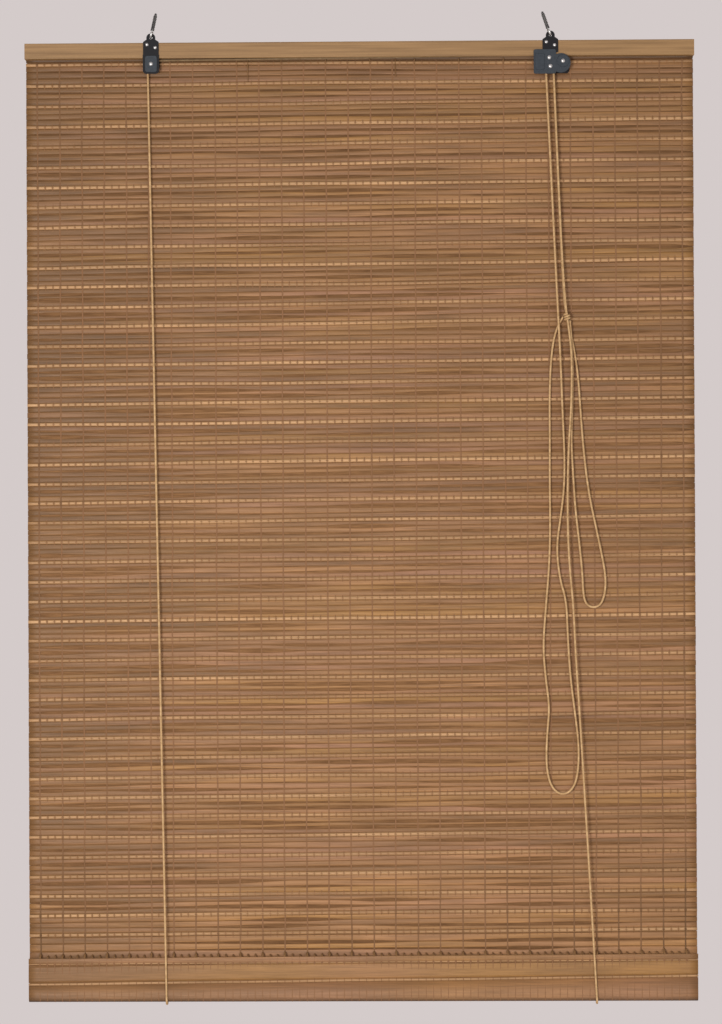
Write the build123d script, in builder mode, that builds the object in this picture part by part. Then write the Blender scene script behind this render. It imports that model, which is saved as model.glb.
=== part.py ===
from build123d import *
from math import cos, pi, radians, sin, tan
import os

os.makedirs("parts", exist_ok=True)

# Bamboo roll up blind, hung by two screw hooks. X runs to the right along the head, Y runs into the
# wall and Z runs up. The origin is the centre of the head rail's back face. A depth is a distance
# from that face towards the room.

# The blind, from the top of the head to the fold at its foot
blind_width = 900
blind_drop = 1290

# Fits and cuts
cut_overrun = 1
flat_clearance = 0.3
side_clearance = 0.2
running_clearance = 0.05

# Head: a rail at the wall and a batten in front, with the top of the mat clamped between them
head_height = 21
rail_depth = 12
batten_depth = 11
wood_edge_radius = 1.2
mat_top_inset = 2

# Brads that nail rail, mat and batten together
brad_count = 6
brad_inset = 40
brad_rise = 4
brad_radius = 0.7
brad_head_radius = 1.5
brad_head_height = 0.8
brad_reach = 6

# Mat: repeats of one round reed and flat slats, held on a thin core of threads
slat_thickness = 1.4
core_thickness = 0.7
slat_gap = 0.8
slats_in_repeat = 3
reed_radius = 1.5
reed_gap = 1.4
repeat_count = 45
light_gap_height = 0.8
light_gap_margin = 17.5
light_gap_bridge = 12
light_gaps_across = 2

# Hem: the mat folded forward round a flat bar
hem_height = 62
bar_depth = 7
bar_top_inset = 5
bar_end_inset = 4
bar_edge_radius = 1

# Cord
cord_radius = 1.5
cord_clearance = 0.5
cord_notch_radius = 2.7
cord_bend_share = 0.45
paired_bend_share = 0.98
knot_radius = 3.6
knot_height = 6
knot_edge_radius = 2
hitch_edge_radius = 1.1

# Hanger plates, the same shape on both brackets
plate_thickness = 1.2
back_plate_thickness = 1
neck_radius = 6
neck_foot_rise = 4
eye_rise = 6.3
shoulder_half_width = 10.5
shoulder_rise = 1
hanger_foot_drop = 16.5
screw_radius = 1.4
screw_head_radius = 2.4
screw_head_height = 1.4
screw_length = 9
high_screw_offset = -5.4
high_screw_drop = 2.6
low_screw_offset = 5.6
low_screw_drop = 6.8

# Screw hooks
hook_wire_radius = 1.6
hook_ring_radius = 5
hook_ring_start = 90
hook_ring_sweep = 290
hook_neck_radius = 2
hook_neck_length = 2
hook_shank_radius = 2.8
hook_shank_length = 18
hook_tip_length = 4
hook_tip_radius = 1.4
left_hook_lean = 12
right_hook_lean = -19

# Pulleys
pitch_radius = 5
flange_radius = 6.4
groove_clearance = 0.3
sheave_width = 4.6
axle_radius = 1.6
rivet_head_radius = 2.7
rivet_head_height = 1.2
press_taper = 30

# Left bracket: one stamped plate, folded back at its left edge into a second cheek
left_bracket_inset = 170.5
left_axle_z = -18.2
tongue_half_width = 11
tongue_drop = 42
tongue_corner_radius = 5
cheek_foot_rise = 6
dish_half_width = 8.4
dish_top_drop = 17.5
dish_foot_rise = 2
dish_height = 0.8
dish_corner_radius = 3.5

# Cord lock on the right
lock_inset = 194.3
lock_hanger_offset = 1.5
lock_axle_z = -13.2
cover_top_drop = 12.8
cover_drop = 45.5
cover_left = -21
cover_right = 9
cover_corner_radius = 2.5
lobe_x = 15.5
lobe_z = -20.7
lobe_radius = 13
back_plate_left = -9
back_plate_right = 27
back_plate_foot_rise = 2
back_plate_corner_radius = 4
wing_width = 13
wing_height = 22
wing_inset = 1.5
press_height = 0.8
press_corner_radius = 2
cap_radius = 8.5
guide_x = 1.4
guide_z = -24.8
guide_radius = 1.7
guide_end_radius = 1.3
cam_x = 18.3
cam_z = -17.9
cam_hub_radius = 5
cam_reach = 13.2
cam_nose_half_width = 3
cam_tooth_count = 4
tooth_turn = 45

# Where the lift cords pass under the hem, and where the pull cords leave the lock
left_hem_inset = 186.5
right_hem_inset = 136.1
lock_exit_z = -37

# Places that follow from the sizes above
left_x = left_bracket_inset - blind_width / 2
lock_x = blind_width / 2 - lock_inset
lock_hanger_x = lock_x + lock_hanger_offset
left_hem_x = left_hem_inset - blind_width / 2
right_hem_x = blind_width / 2 - right_hem_inset
head_top = head_height / 2
head_bottom = -head_height / 2
mat_depth = rail_depth + slat_thickness / 2
batten_back = rail_depth + slat_thickness
batten_front = batten_back + batten_depth
fold_radius = bar_depth / 2 + flat_clearance + reed_radius
fold_outer = fold_radius + slat_thickness / 2
fold_inner = fold_radius - slat_thickness / 2
foot_z = head_top - blind_drop
fold_z = foot_z + fold_outer
fold_depth = mat_depth + fold_radius
hem_top = foot_z + hem_height
hem_depth = mat_depth + 2 * fold_radius

repeat_pitch = (head_bottom - hem_top) / repeat_count
reed_band = 2 * (reed_gap + reed_radius)
slat_height = (repeat_pitch - reed_band) / slats_in_repeat - slat_gap
wide_slat_height = (hem_top - fold_z - reed_band) / 2

plate_front = batten_front + plate_thickness
cover_front = plate_front + plate_thickness
front_sheave_front = plate_front - side_clearance
front_sheave_back = front_sheave_front - sheave_width
rear_sheave_front = front_sheave_back - side_clearance
rear_sheave_back = rear_sheave_front - sheave_width
back_plate_front = rear_sheave_back - side_clearance
back_plate_back = back_plate_front - back_plate_thickness
front_groove_depth = (front_sheave_front + front_sheave_back) / 2
rear_groove_depth = (rear_sheave_front + rear_sheave_back) / 2
left_groove_depth = (back_plate_front + batten_front) / 2
groove_radius = cord_radius + groove_clearance
bore_radius = axle_radius + running_clearance

eye_z = head_top + eye_rise
eye_depth = batten_front + plate_thickness / 2
eye_radius = hook_wire_radius + flat_clearance

back_cord_depth = mat_depth - reed_radius - cord_clearance - cord_radius
front_cord_depth = hem_depth + reed_radius + cord_clearance + cord_radius
cord_turn_radius = (front_cord_depth - back_cord_depth) / 2
cord_low_z = fold_z - cord_turn_radius

brad_pitch = (blind_width - 2 * brad_inset) / (brad_count - 1)
brad_points = [(brad_inset - blind_width / 2 + brad_pitch * brad, brad_rise) for brad in range(brad_count)]
screw_points = [
    (high_screw_offset, head_top - high_screw_drop),
    (low_screw_offset, head_top - low_screw_drop),
]


def spindle(x, z):
    # Plane for turned pieces: depth along its first axis, radius along its second
    return Plane(origin=(x, 0, z), x_dir=(0, -1, 0), z_dir=(-1, 0, 0))


def spindle_axis(x, z):
    return Axis((x, 0, z), (0, -1, 0))


def headed_pin(x, z, back, seat, radius, head_radius, head_height, shoulder=None):
    # Straight pin from its back end to the seat of its domed head. A shoulder is a fatter stretch,
    # given as its back, its front and its radius.
    dome_radius = (head_radius**2 + head_height**2) / (2 * head_height)
    with BuildPart() as pin:
        with BuildSketch(spindle(x, z)):
            with Locations((seat + head_height - dome_radius, 0)):
                Circle(dome_radius)
            with Locations((seat, 0)):
                Rectangle(head_height, head_radius, align=(Align.MIN, Align.MIN), mode=Mode.INTERSECT)
            with Locations((back, 0)):
                Rectangle(seat - back, radius, align=(Align.MIN, Align.MIN))
            if shoulder:
                shoulder_back, shoulder_front, shoulder_radius = shoulder
                with Locations((shoulder_back, 0)):
                    Rectangle(shoulder_front - shoulder_back, shoulder_radius, align=(Align.MIN, Align.MIN))
        revolve(axis=spindle_axis(x, z))
    return pin.part


def grooved_sheave(x, z, back, front, hub_back, hub_front):
    # Wheel with a round groove for one cord, and a hub that may stand out on both sides
    with BuildPart() as sheave:
        with BuildSketch(spindle(x, z)):
            with Locations((back, bore_radius)):
                Rectangle(front - back, flange_radius - bore_radius, align=(Align.MIN, Align.MIN))
            with Locations(((back + front) / 2, pitch_radius)):
                Circle(groove_radius, mode=Mode.SUBTRACT)
                Rectangle(
                    2 * groove_radius,
                    flange_radius,
                    align=(Align.CENTER, Align.MIN),
                    mode=Mode.SUBTRACT,
                )
            with Locations((hub_back, bore_radius)):
                Rectangle(
                    hub_front - hub_back,
                    pitch_radius - groove_radius - bore_radius,
                    align=(Align.MIN, Align.MIN),
                )
        revolve(axis=spindle_axis(x, z))
    return sheave.part


def hanger_face():
    # Upper part of both brackets: a round neck with its eye, sloping shoulders and two screw holes
    with BuildSketch() as face:
        with BuildLine():
            Polyline(
                (-shoulder_half_width, head_top - hanger_foot_drop),
                (-shoulder_half_width, head_top + shoulder_rise),
                (-neck_radius, head_top + neck_foot_rise),
                (-neck_radius, eye_z),
                (neck_radius, eye_z),
                (neck_radius, head_top + neck_foot_rise),
                (shoulder_half_width, head_top + shoulder_rise),
                (shoulder_half_width, head_top - hanger_foot_drop),
                close=True,
            )
        make_face()
        with Locations((0, eye_z)):
            Circle(neck_radius)
            Circle(eye_radius, mode=Mode.SUBTRACT)
        with Locations(*screw_points):
            Circle(screw_radius + running_clearance, mode=Mode.SUBTRACT)
    return face.sketch


def screw_hook(x, lean):
    # Open wire ring through the eye, with a short neck and a straight screw shank that lean sideways
    rise = Vector(sin(radians(lean)), 0, cos(radians(lean)))
    ring_plane = Plane(origin=(x, -eye_depth, eye_z), x_dir=(0, -1, 0), z_dir=(-rise.Z, 0, rise.X))
    neck_foot = Vector(x, -eye_depth, eye_z) + rise * (2 * hook_ring_radius)
    shank_foot = neck_foot + rise * hook_neck_length
    shank_end = shank_foot + rise * hook_shank_length
    with BuildPart() as hook:
        with BuildLine(ring_plane) as ring:
            CenterArc((0, hook_ring_radius), hook_ring_radius, hook_ring_start, hook_ring_sweep)
        with BuildSketch(Plane(origin=ring.line @ 0, z_dir=ring.line % 0)):
            Circle(hook_wire_radius)
        sweep()
        with BuildSketch(Plane(origin=neck_foot, z_dir=rise)):
            Circle(hook_neck_radius)
        extrude(amount=hook_neck_length)
        with BuildSketch(Plane(origin=shank_foot, z_dir=rise)):
            Circle(hook_shank_radius)
        extrude(amount=hook_shank_length)
        with Locations(Plane(origin=shank_end, z_dir=rise)):
            Cone(
                hook_shank_radius,
                hook_tip_radius,
                hook_tip_length,
                align=(Align.CENTER, Align.CENTER, Align.MIN),
            )
    return hook.part


def bend_radii(route, tight=None):
    # Each bend of a cord is as large as its two runs allow, unless something it turns round sets it
    points = [Vector(*point) for point in route]
    radii = []
    for index in range(1, len(points) - 1):
        before = points[index] - points[index - 1]
        after = points[index + 1] - points[index]
        half_turn = radians(before.get_angle(after) / 2)
        radii.append(cord_bend_share * min(before.length, after.length) / tan(half_turn))
    for index, radius in (tight or {}).items():
        radii[index - 1] = radius
    return radii


def cord_tube(name, route, tight=None):
    # Round cord along a route of (x, depth, z) points
    points = [(x, -depth, z) for x, depth, z in route]
    radii = bend_radii(points, tight)
    with BuildPart() as cord:
        with BuildLine() as line:
            FilletPolyline(*points, radius=radii)
        with BuildSketch(Plane(origin=line.line @ 0, z_dir=line.line % 0)):
            Circle(cord_radius)
        sweep()
    length = sum(edge.length for edge in line.edges())
    print(name, "length", round(length), "bends", [round(radius) for radius in radii])
    print(name, "volume by section and length", round(cord.part.volume / (pi * cord_radius**2 * length), 4))
    return cord.part


def from_lock(*offsets):
    # Points given to the right of the lock's centre line, in front of the mat and above the origin
    return [(lock_x + x, mat_depth + depth, z) for x, depth, z in offsets]


def keep(part, name):
    part.label = name
    export_step(part, f"parts/{name}.step")


# Head rail at the wall, notched in front for the two lift cords and drilled for the brads
with BuildPart() as head_rail:
    with BuildSketch(Plane.XZ):
        Rectangle(blind_width, head_height)
    extrude(amount=rail_depth)
    fillet(head_rail.faces().sort_by(Axis.Y)[-1].edges().filter_by(Axis.X), radius=wood_edge_radius)
    with BuildSketch(Plane.XY.offset(head_bottom - cut_overrun)):
        with Locations((left_x, -back_cord_depth), (lock_x, -back_cord_depth)):
            Circle(cord_notch_radius)
            Rectangle(2 * cord_notch_radius, rail_depth, align=(Align.CENTER, Align.MAX))
    extrude(amount=head_height + 2 * cut_overrun, mode=Mode.SUBTRACT)
    with BuildSketch(Plane.XZ.offset(-cut_overrun)):
        with Locations(*brad_points):
            Circle(brad_radius + running_clearance)
    extrude(amount=rail_depth + 2 * cut_overrun, mode=Mode.SUBTRACT)
    with BuildSketch(Plane.XZ.offset(-cut_overrun)):
        with Locations(*brad_points):
            Circle(brad_head_radius + running_clearance)
    extrude(amount=brad_head_height + cut_overrun, mode=Mode.SUBTRACT)
keep(head_rail.part, "head_rail")

# Front batten, grooved behind for the cross cord and notched for the lock's sheaves
cross_groove_height = lock_axle_z + pitch_radius + groove_radius - head_bottom
cross_groove_depth = left_groove_depth + groove_radius - batten_back
notch_half_width = flange_radius + cord_clearance
notch_height = lock_axle_z + flange_radius + cord_clearance - head_bottom
with BuildPart() as head_batten:
    with BuildSketch(Plane.XZ.offset(batten_back)):
        Rectangle(blind_width, head_height)
    extrude(amount=batten_depth)
    fillet(head_batten.faces().sort_by(Axis.Y)[0].edges().filter_by(Axis.X), radius=wood_edge_radius)
    with BuildSketch(Plane.XZ.offset(batten_back - cut_overrun)):
        with Locations(((left_x + lock_x) / 2, head_bottom - cut_overrun)):
            Rectangle(
                lock_x - left_x + 2 * notch_half_width,
                cross_groove_height + cut_overrun,
                align=(Align.CENTER, Align.MIN),
            )
    extrude(amount=cross_groove_depth + cut_overrun, mode=Mode.SUBTRACT)
    with BuildSketch(Plane.XZ.offset(batten_back - cut_overrun)):
        with Locations((lock_x, head_bottom - cut_overrun)):
            Rectangle(2 * notch_half_width, notch_height + cut_overrun, align=(Align.CENTER, Align.MIN))
    extrude(amount=batten_depth + 2 * cut_overrun, mode=Mode.SUBTRACT)
    with BuildSketch(Plane.XZ.offset(plate_front - screw_length)):
        with Locations((left_x, 0), (lock_hanger_x, 0)):
            with Locations(*screw_points):
                Circle(screw_radius + running_clearance)
    extrude(amount=screw_length, mode=Mode.SUBTRACT)
    with BuildSketch(Plane.XZ.offset(batten_back - cut_overrun)):
        with Locations(*brad_points):
            Circle(brad_radius + running_clearance)
    extrude(amount=brad_reach + running_clearance + cut_overrun, mode=Mode.SUBTRACT)
keep(head_batten.part, "head_batten")

# Brads, driven in flush from the back
with BuildPart() as rail_brads:
    with BuildSketch(Plane.XZ):
        with Locations(*brad_points):
            Circle(brad_radius)
    extrude(amount=batten_back + brad_reach)
    with BuildSketch(Plane.XZ):
        with Locations(*brad_points):
            Circle(brad_head_radius)
    extrude(amount=brad_head_height)
keep(rail_brads.part, "rail_brads")

# Woven mat: its section across the slats, drawn in depth and height, runs the whole width
slat_points = []
reed_points = []
light_gap_points = []
light_gap_length = (
    blind_width - 2 * light_gap_margin - (light_gaps_across - 1) * light_gap_bridge
) / light_gaps_across
for row in range(repeat_count):
    row_top = head_bottom - row * repeat_pitch
    reed_points.append((-mat_depth, row_top - reed_band / 2))
    for slat in range(slats_in_repeat):
        slat_top = row_top - reed_band - slat * (slat_gap + slat_height)
        slat_points.append((-mat_depth, slat_top - slat_height / 2))
    for gap in range(light_gaps_across):
        gap_left = light_gap_margin - blind_width / 2 + gap * (light_gap_length + light_gap_bridge)
        light_gap_points.append((gap_left + light_gap_length / 2, -mat_depth, row_top - reed_gap / 2))

hem_layers = [-mat_depth, -hem_depth]
hem_reed_z = fold_z + wide_slat_height + reed_band / 2
hem_slat_rise = (wide_slat_height + reed_band) / 2
with BuildPart() as bamboo_mat:
    with BuildSketch(Plane.YZ.offset(-blind_width / 2)):
        with Locations((-fold_depth, fold_z)):
            Circle(fold_outer)
            Circle(fold_inner, mode=Mode.SUBTRACT)
            Rectangle(2 * fold_outer, fold_outer, align=(Align.CENTER, Align.MIN), mode=Mode.SUBTRACT)
        with Locations((-mat_depth, fold_z)):
            Rectangle(core_thickness, head_top - mat_top_inset - fold_z, align=(Align.CENTER, Align.MIN))
        with Locations((-hem_depth, fold_z)):
            Rectangle(core_thickness, hem_top - fold_z, align=(Align.CENTER, Align.MIN))
        with Locations((-mat_depth, head_bottom)):
            Rectangle(slat_thickness, head_height - mat_top_inset, align=(Align.CENTER, Align.MIN))
        with Locations(*slat_points):
            Rectangle(slat_thickness, slat_height)
        with Locations(*reed_points, *[(layer, hem_reed_z) for layer in hem_layers]):
            Circle(reed_radius)
        for side in (-1, 1):
            with Locations(*[(layer, hem_reed_z + side * hem_slat_rise) for layer in hem_layers]):
                Rectangle(slat_thickness, wide_slat_height)
    extrude(amount=blind_width)
    with Locations(*light_gap_points):
        Box(light_gap_length, slat_thickness, light_gap_height, mode=Mode.SUBTRACT)
    with BuildSketch(Plane.XZ.offset(rail_depth - cut_overrun)):
        with Locations(*brad_points):
            Circle(brad_radius + running_clearance)
    extrude(amount=slat_thickness + 2 * cut_overrun, mode=Mode.SUBTRACT)
keep(bamboo_mat.part, "bamboo_mat")

# Flat bar inside the hem, rounded at its foot to sit in the fold
with BuildPart() as bottom_bar:
    with BuildSketch(Plane.YZ.offset(bar_end_inset - blind_width / 2)) as bar_section:
        with Locations((-fold_depth, fold_z)):
            Circle(bar_depth / 2)
            Rectangle(bar_depth, hem_top - bar_top_inset - fold_z, align=(Align.CENTER, Align.MIN))
        fillet(bar_section.vertices().group_by(Axis.Y)[-1], radius=bar_edge_radius)
    extrude(amount=blind_width - 2 * bar_end_inset)
keep(bottom_bar.part, "bottom_bar")

# Left pulley bracket
tongue_foot = head_top - tongue_drop
cheek_foot = tongue_foot + cheek_foot_rise
cheek_top = head_bottom - flat_clearance
with BuildPart() as left_bracket:
    with BuildSketch(Plane.XZ.offset(batten_front)):
        with Locations((left_x, 0)):
            add(hanger_face())
    extrude(amount=plate_thickness)
    with BuildSketch(Plane.XZ.offset(batten_front)) as tongue:
        with Locations((left_x, tongue_foot)):
            Rectangle(
                2 * tongue_half_width,
                tongue_drop - hanger_foot_drop,
                align=(Align.CENTER, Align.MIN),
            )
        fillet(tongue.vertices().group_by(Axis.Y)[0], radius=tongue_corner_radius)
    extrude(amount=plate_thickness)
    with BuildSketch(Plane.XZ.offset(back_plate_back)) as cheek:
        with Locations((left_x, cheek_foot)):
            Rectangle(2 * tongue_half_width, cheek_top - cheek_foot, align=(Align.CENTER, Align.MIN))
        fillet(cheek.vertices().group_by(Axis.Y)[0].sort_by(Axis.X)[-1], radius=tongue_corner_radius)
    extrude(amount=back_plate_thickness)
    with BuildSketch(Plane.XZ.offset(back_plate_back)):
        with Locations((left_x - tongue_half_width, cheek_foot)):
            Rectangle(plate_thickness, cheek_top - cheek_foot, align=(Align.MIN, Align.MIN))
    extrude(amount=plate_front - back_plate_back)
    with BuildSketch(Plane.XZ.offset(plate_front)) as dish:
        with Locations((left_x, tongue_foot + dish_foot_rise)):
            Rectangle(
                2 * dish_half_width,
                tongue_drop - dish_top_drop - dish_foot_rise,
                align=(Align.CENTER, Align.MIN),
            )
        fillet(dish.vertices(), radius=dish_corner_radius)
    extrude(amount=dish_height, taper=press_taper)
    with BuildSketch(Plane.XZ.offset(back_plate_back - cut_overrun)):
        with Locations((left_x, left_axle_z)):
            Circle(bore_radius)
    extrude(amount=plate_front + dish_height - back_plate_back + 2 * cut_overrun, mode=Mode.SUBTRACT)
keep(left_bracket.part, "left_pulley_bracket")

left_pulley = grooved_sheave(
    left_x,
    left_axle_z,
    left_groove_depth - sheave_width / 2,
    left_groove_depth + sheave_width / 2,
    back_plate_front + side_clearance,
    batten_front - side_clearance,
)
keep(left_pulley, "left_pulley")
left_rivet = headed_pin(
    left_x,
    left_axle_z,
    back_plate_back,
    plate_front + dish_height,
    axle_radius,
    rivet_head_radius,
    rivet_head_height,
)
keep(left_rivet, "left_pulley_rivet")

# Cord lock: hanger plate with a cover lapped on its front, pressed out over the wing and the cam
cover_top = head_top - cover_top_drop
cover_foot = head_top - cover_drop
cover_width = cover_right - cover_left
rivet_points = [(lock_x, lock_axle_z), (lock_x + guide_x, guide_z), (lock_x + cam_x, cam_z)]
rivet_hole_radii = [bore_radius, guide_end_radius + running_clearance, bore_radius]
with BuildPart() as lock_front:
    with BuildSketch(Plane.XZ.offset(batten_front)):
        with Locations((lock_hanger_x, 0)):
            add(hanger_face())
    extrude(amount=plate_thickness)
    with BuildSketch(Plane.XZ.offset(plate_front)):
        with Locations((lock_x + (cover_left + cover_right) / 2, (cover_top + cover_foot) / 2)):
            RectangleRounded(cover_width, cover_top - cover_foot, cover_corner_radius)
        with Locations((lock_x + lobe_x, lobe_z)):
            Circle(lobe_radius)
    extrude(amount=plate_thickness)
    with BuildSketch(Plane.XZ.offset(cover_front)):
        with Locations((lock_x + cover_left + wing_inset + wing_width / 2, (cover_top + cover_foot) / 2)):
            RectangleRounded(wing_width, wing_height, press_corner_radius)
        with Locations((lock_x + cam_x, cam_z)):
            Circle(cap_radius)
    extrude(amount=press_height, taper=press_taper)
    for point, radius in zip(rivet_points, rivet_hole_radii):
        with BuildSketch(Plane.XZ.offset(batten_front - cut_overrun)):
            with Locations(point):
                Circle(radius)
        extrude(amount=cover_front + press_height - batten_front + 2 * cut_overrun, mode=Mode.SUBTRACT)
keep(lock_front.part, "lock_front_plate")

back_plate_top = head_bottom - flat_clearance
back_plate_foot = cover_foot + back_plate_foot_rise
with BuildPart() as lock_back:
    with BuildSketch(Plane.XZ.offset(back_plate_back)) as back_outline:
        with Locations((lock_x + back_plate_left, back_plate_foot)):
            Rectangle(
                back_plate_right - back_plate_left,
                back_plate_top - back_plate_foot,
                align=(Align.MIN, Align.MIN),
            )
        fillet(back_outline.vertices().group_by(Axis.Y)[0], radius=back_plate_corner_radius)
        for point, radius in zip(rivet_points, rivet_hole_radii):
            with Locations(point):
                Circle(radius, mode=Mode.SUBTRACT)
    extrude(amount=back_plate_thickness)
keep(lock_back.part, "lock_back_plate")

front_sheave = grooved_sheave(
    lock_x, lock_axle_z, front_sheave_back, front_sheave_front, front_sheave_back, front_sheave_front
)
keep(front_sheave, "lock_front_sheave")
rear_sheave = grooved_sheave(
    lock_x, lock_axle_z, rear_sheave_back, rear_sheave_front, rear_sheave_back, rear_sheave_front
)
keep(rear_sheave, "lock_rear_sheave")

lock_axle = headed_pin(
    lock_x, lock_axle_z, back_plate_back, cover_front, axle_radius, rivet_head_radius, rivet_head_height
)
keep(lock_axle, "lock_axle_rivet")
cam_rivet = headed_pin(
    lock_x + cam_x,
    cam_z,
    back_plate_back,
    cover_front + press_height,
    axle_radius,
    rivet_head_radius,
    rivet_head_height,
)
keep(cam_rivet, "lock_cam_rivet")

# Shouldered pin that keeps the two pairs of strands apart
guide_pin = headed_pin(
    lock_x + guide_x,
    guide_z,
    back_plate_back,
    cover_front,
    guide_end_radius,
    rivet_head_radius,
    rivet_head_height,
    shoulder=(back_plate_front, plate_front, guide_radius),
)
keep(guide_pin, "lock_guide_pin")

# Toothed cam that hangs on its rivet and swings left to grip the cords
tooth_pitch = 2 * cam_nose_half_width / cam_tooth_count
with BuildPart() as lock_cam:
    with BuildSketch(Plane.XZ.offset(rear_sheave_back)):
        with Locations((lock_x + cam_x, cam_z)):
            Circle(cam_hub_radius)
            Polygon(
                (-cam_hub_radius, 0),
                (-cam_nose_half_width, -cam_reach),
                (cam_nose_half_width, -cam_reach),
                (cam_hub_radius, 0),
                align=None,
            )
            Circle(bore_radius, mode=Mode.SUBTRACT)
        for tooth in range(cam_tooth_count):
            tooth_x = lock_x + cam_x - cam_nose_half_width + (tooth + 1 / 2) * tooth_pitch
            with Locations((tooth_x, cam_z - cam_reach)):
                Rectangle(tooth_pitch / 2, tooth_pitch / 2, rotation=tooth_turn, mode=Mode.SUBTRACT)
    extrude(amount=front_sheave_front - rear_sheave_back)
keep(lock_cam.part, "lock_cam")

# Screws of each bracket, and the hooks in their eyes
for bracket_x, name in ((left_x, "left_bracket_screws"), (lock_hanger_x, "lock_screws")):
    screws = [
        headed_pin(
            bracket_x + x,
            z,
            plate_front - screw_length,
            plate_front,
            screw_radius,
            screw_head_radius,
            screw_head_height,
        )
        for x, z in screw_points
    ]
    keep(Compound(children=screws), name)
keep(screw_hook(left_x, left_hook_lean), "left_screw_hook")
keep(screw_hook(lock_hanger_x, right_hook_lean), "right_screw_hook")

# Lift cords: from a knot on the rail, down the back, under the hem and up the front to their pulleys.
# The left one crosses behind the batten to the lock's rear sheave. Below the lock they run on as the
# pull cords, whose routes are given first.
right_pull_route = from_lock(
    (8.7, 10.2, -325),
    (11.1, 9.8, -372),
    (13.8, 8.9, -430),
    (15.8, 7.9, -490),
    (18.3, 6.9, -545),
    (17.8, 6.6, -590),
    (12.3, 6.6, -632),
    (6.7, 6.6, -670),
    (10.8, 6.7, -712),
    (19.8, 6.9, -742),
    (21.3, 7.2, -788),
    (24.3, 7.5, -843),
    (30.8, 7.9, -895),
    (35.5, 8.1, -935),
    (34.8, 8.1, -968),
    (30.3, 8, -989),
    (21.3, 7.7, -1000.5),
    (9.3, 7.3, -1002),
    (-0.7, 6.8, -993),
    (-6.2, 6.5, -977),
    (-8.4, 6.3, -955),
    (-6.7, 6.3, -918),
    (-3.4, 6.3, -885),
    (-8.7, 6.3, -845),
    (-11.9, 6.3, -803),
    (-7.7, 6.2, -750),
    (-2.7, 6.1, -692),
    (-1.3, 5.8, -635),
    (-1.8, 5.6, -580),
    (-1.3, 5.3, -522),
    (-1.5, 5.1, -465),
    (1.1, 4.9, -410),
    (8.3, 5.3, -374),
    (17.3, 7.3, -361),
)
left_pull_route = from_lock(
    (16.8, 4.5, -325),
    (22.8, 4.2, -365),
    (31.8, 4.5, -403),
    (37.3, 5.3, -443),
    (40.6, 5.8, -498),
    (44.6, 6.1, -550),
    (50.8, 6.3, -600),
    (60.8, 6.5, -648),
    (69.1, 6.6, -688),
    (72.6, 6.6, -712),
    (71.9, 6.6, -730),
    (68.3, 6.6, -742.9),
    (63.7, 6.7, -749.2),
    (56.3, 6.8, -751.6),
    (48.9, 6.9, -749.2),
    (44.3, 7.1, -742.9),
    (42.1, 7.3, -729),
    (41.3, 7.5, -705),
    (37.5, 7.5, -665),
    (32.3, 7.4, -620),
    (29.3, 7.3, -570),
    (27.1, 7.3, -525),
    (28.9, 7.4, -480),
    (29.8, 7.5, -435),
    (28.7, 7.9, -400),
    (26.3, 8, -366),
)
right_strand = from_lock(
    (37.8, 13.1, -915),
    (31.3, 12.8, -812),
    (28.8, 12.6, -748),
    (23.3, 12.3, -690),
    (21.3, 12.1, -625),
    (22.8, 11.8, -545),
    (27.5, 11.6, -480),
    (28.3, 11.5, -430),
    (27.3, 11.4, -397),
    (17.3, 11.1, -325),
)


def lock_exit(sheave_x, groove_depth, towards):
    # Where a strand that comes down from a sheave leaves the lock on its way to the next point
    start = Vector(sheave_x, groove_depth, lock_axle_z + pitch_radius)
    run = Vector(*towards) - start
    return tuple(start + run * ((lock_exit_z - start.Z) / run.Z))


right_exit = lock_exit(lock_x - pitch_radius, front_groove_depth, right_pull_route[0])
left_exit = lock_exit(lock_x + pitch_radius, rear_groove_depth, left_pull_route[0])
left_lift_route = [
    (left_x, back_cord_depth, head_top - flat_clearance),
    (left_hem_x, back_cord_depth, cord_low_z),
    (left_hem_x, front_cord_depth, cord_low_z),
    (left_x - pitch_radius, left_groove_depth, left_axle_z + pitch_radius),
    (lock_x + pitch_radius, rear_groove_depth, lock_axle_z + pitch_radius),
    left_exit,
]
right_lift_route = [
    (lock_x, back_cord_depth, head_top - flat_clearance),
    (right_hem_x, back_cord_depth, cord_low_z),
    (right_hem_x, front_cord_depth, cord_low_z),
    *right_strand,
    (lock_x + pitch_radius, front_groove_depth, lock_axle_z + pitch_radius),
    (lock_x - pitch_radius, front_groove_depth, lock_axle_z + pitch_radius),
    right_exit,
]
# Two bends that share one run leave a short straight between them
sheave_turn = paired_bend_share * pitch_radius
hem_turn = paired_bend_share * cord_turn_radius
last_bend = len(right_lift_route) - 2
left_lift_turns = {1: hem_turn, 2: hem_turn, 3: pitch_radius, 4: pitch_radius}
right_lift_turns = {1: hem_turn, 2: hem_turn, last_bend - 1: sheave_turn, last_bend: sheave_turn}
keep(cord_tube("left lift cord", left_lift_route, left_lift_turns), "left_lift_cord")
keep(cord_tube("right lift cord", right_lift_route, right_lift_turns), "right_lift_cord")

# Knots that stop the lift cords on top of the rail
for knot_x, name in ((left_x, "left_cord_knot"), (lock_x, "right_cord_knot")):
    with BuildPart() as knot:
        with BuildSketch(Plane.XZ.offset(back_cord_depth)):
            with Locations((knot_x, head_top + knot_height / 2)):
                RectangleRounded(2 * knot_radius, knot_height, knot_edge_radius)
            with Locations((knot_x, head_top)):
                Rectangle(
                    knot_radius + cut_overrun,
                    knot_height,
                    align=(Align.MAX, Align.MIN),
                    mode=Mode.SUBTRACT,
                )
        revolve(axis=Axis((knot_x, -back_cord_depth, head_top), (0, 0, 1)))
    keep(knot.part, name)

# Pull cords: the free tails below the lock, hanked up and hitched round the right lift strand
keep(cord_tube("right pull cord", [right_exit, *right_pull_route]), "right_pull_cord")
keep(cord_tube("left pull cord", [left_exit, *left_pull_route]), "left_pull_cord")

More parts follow.
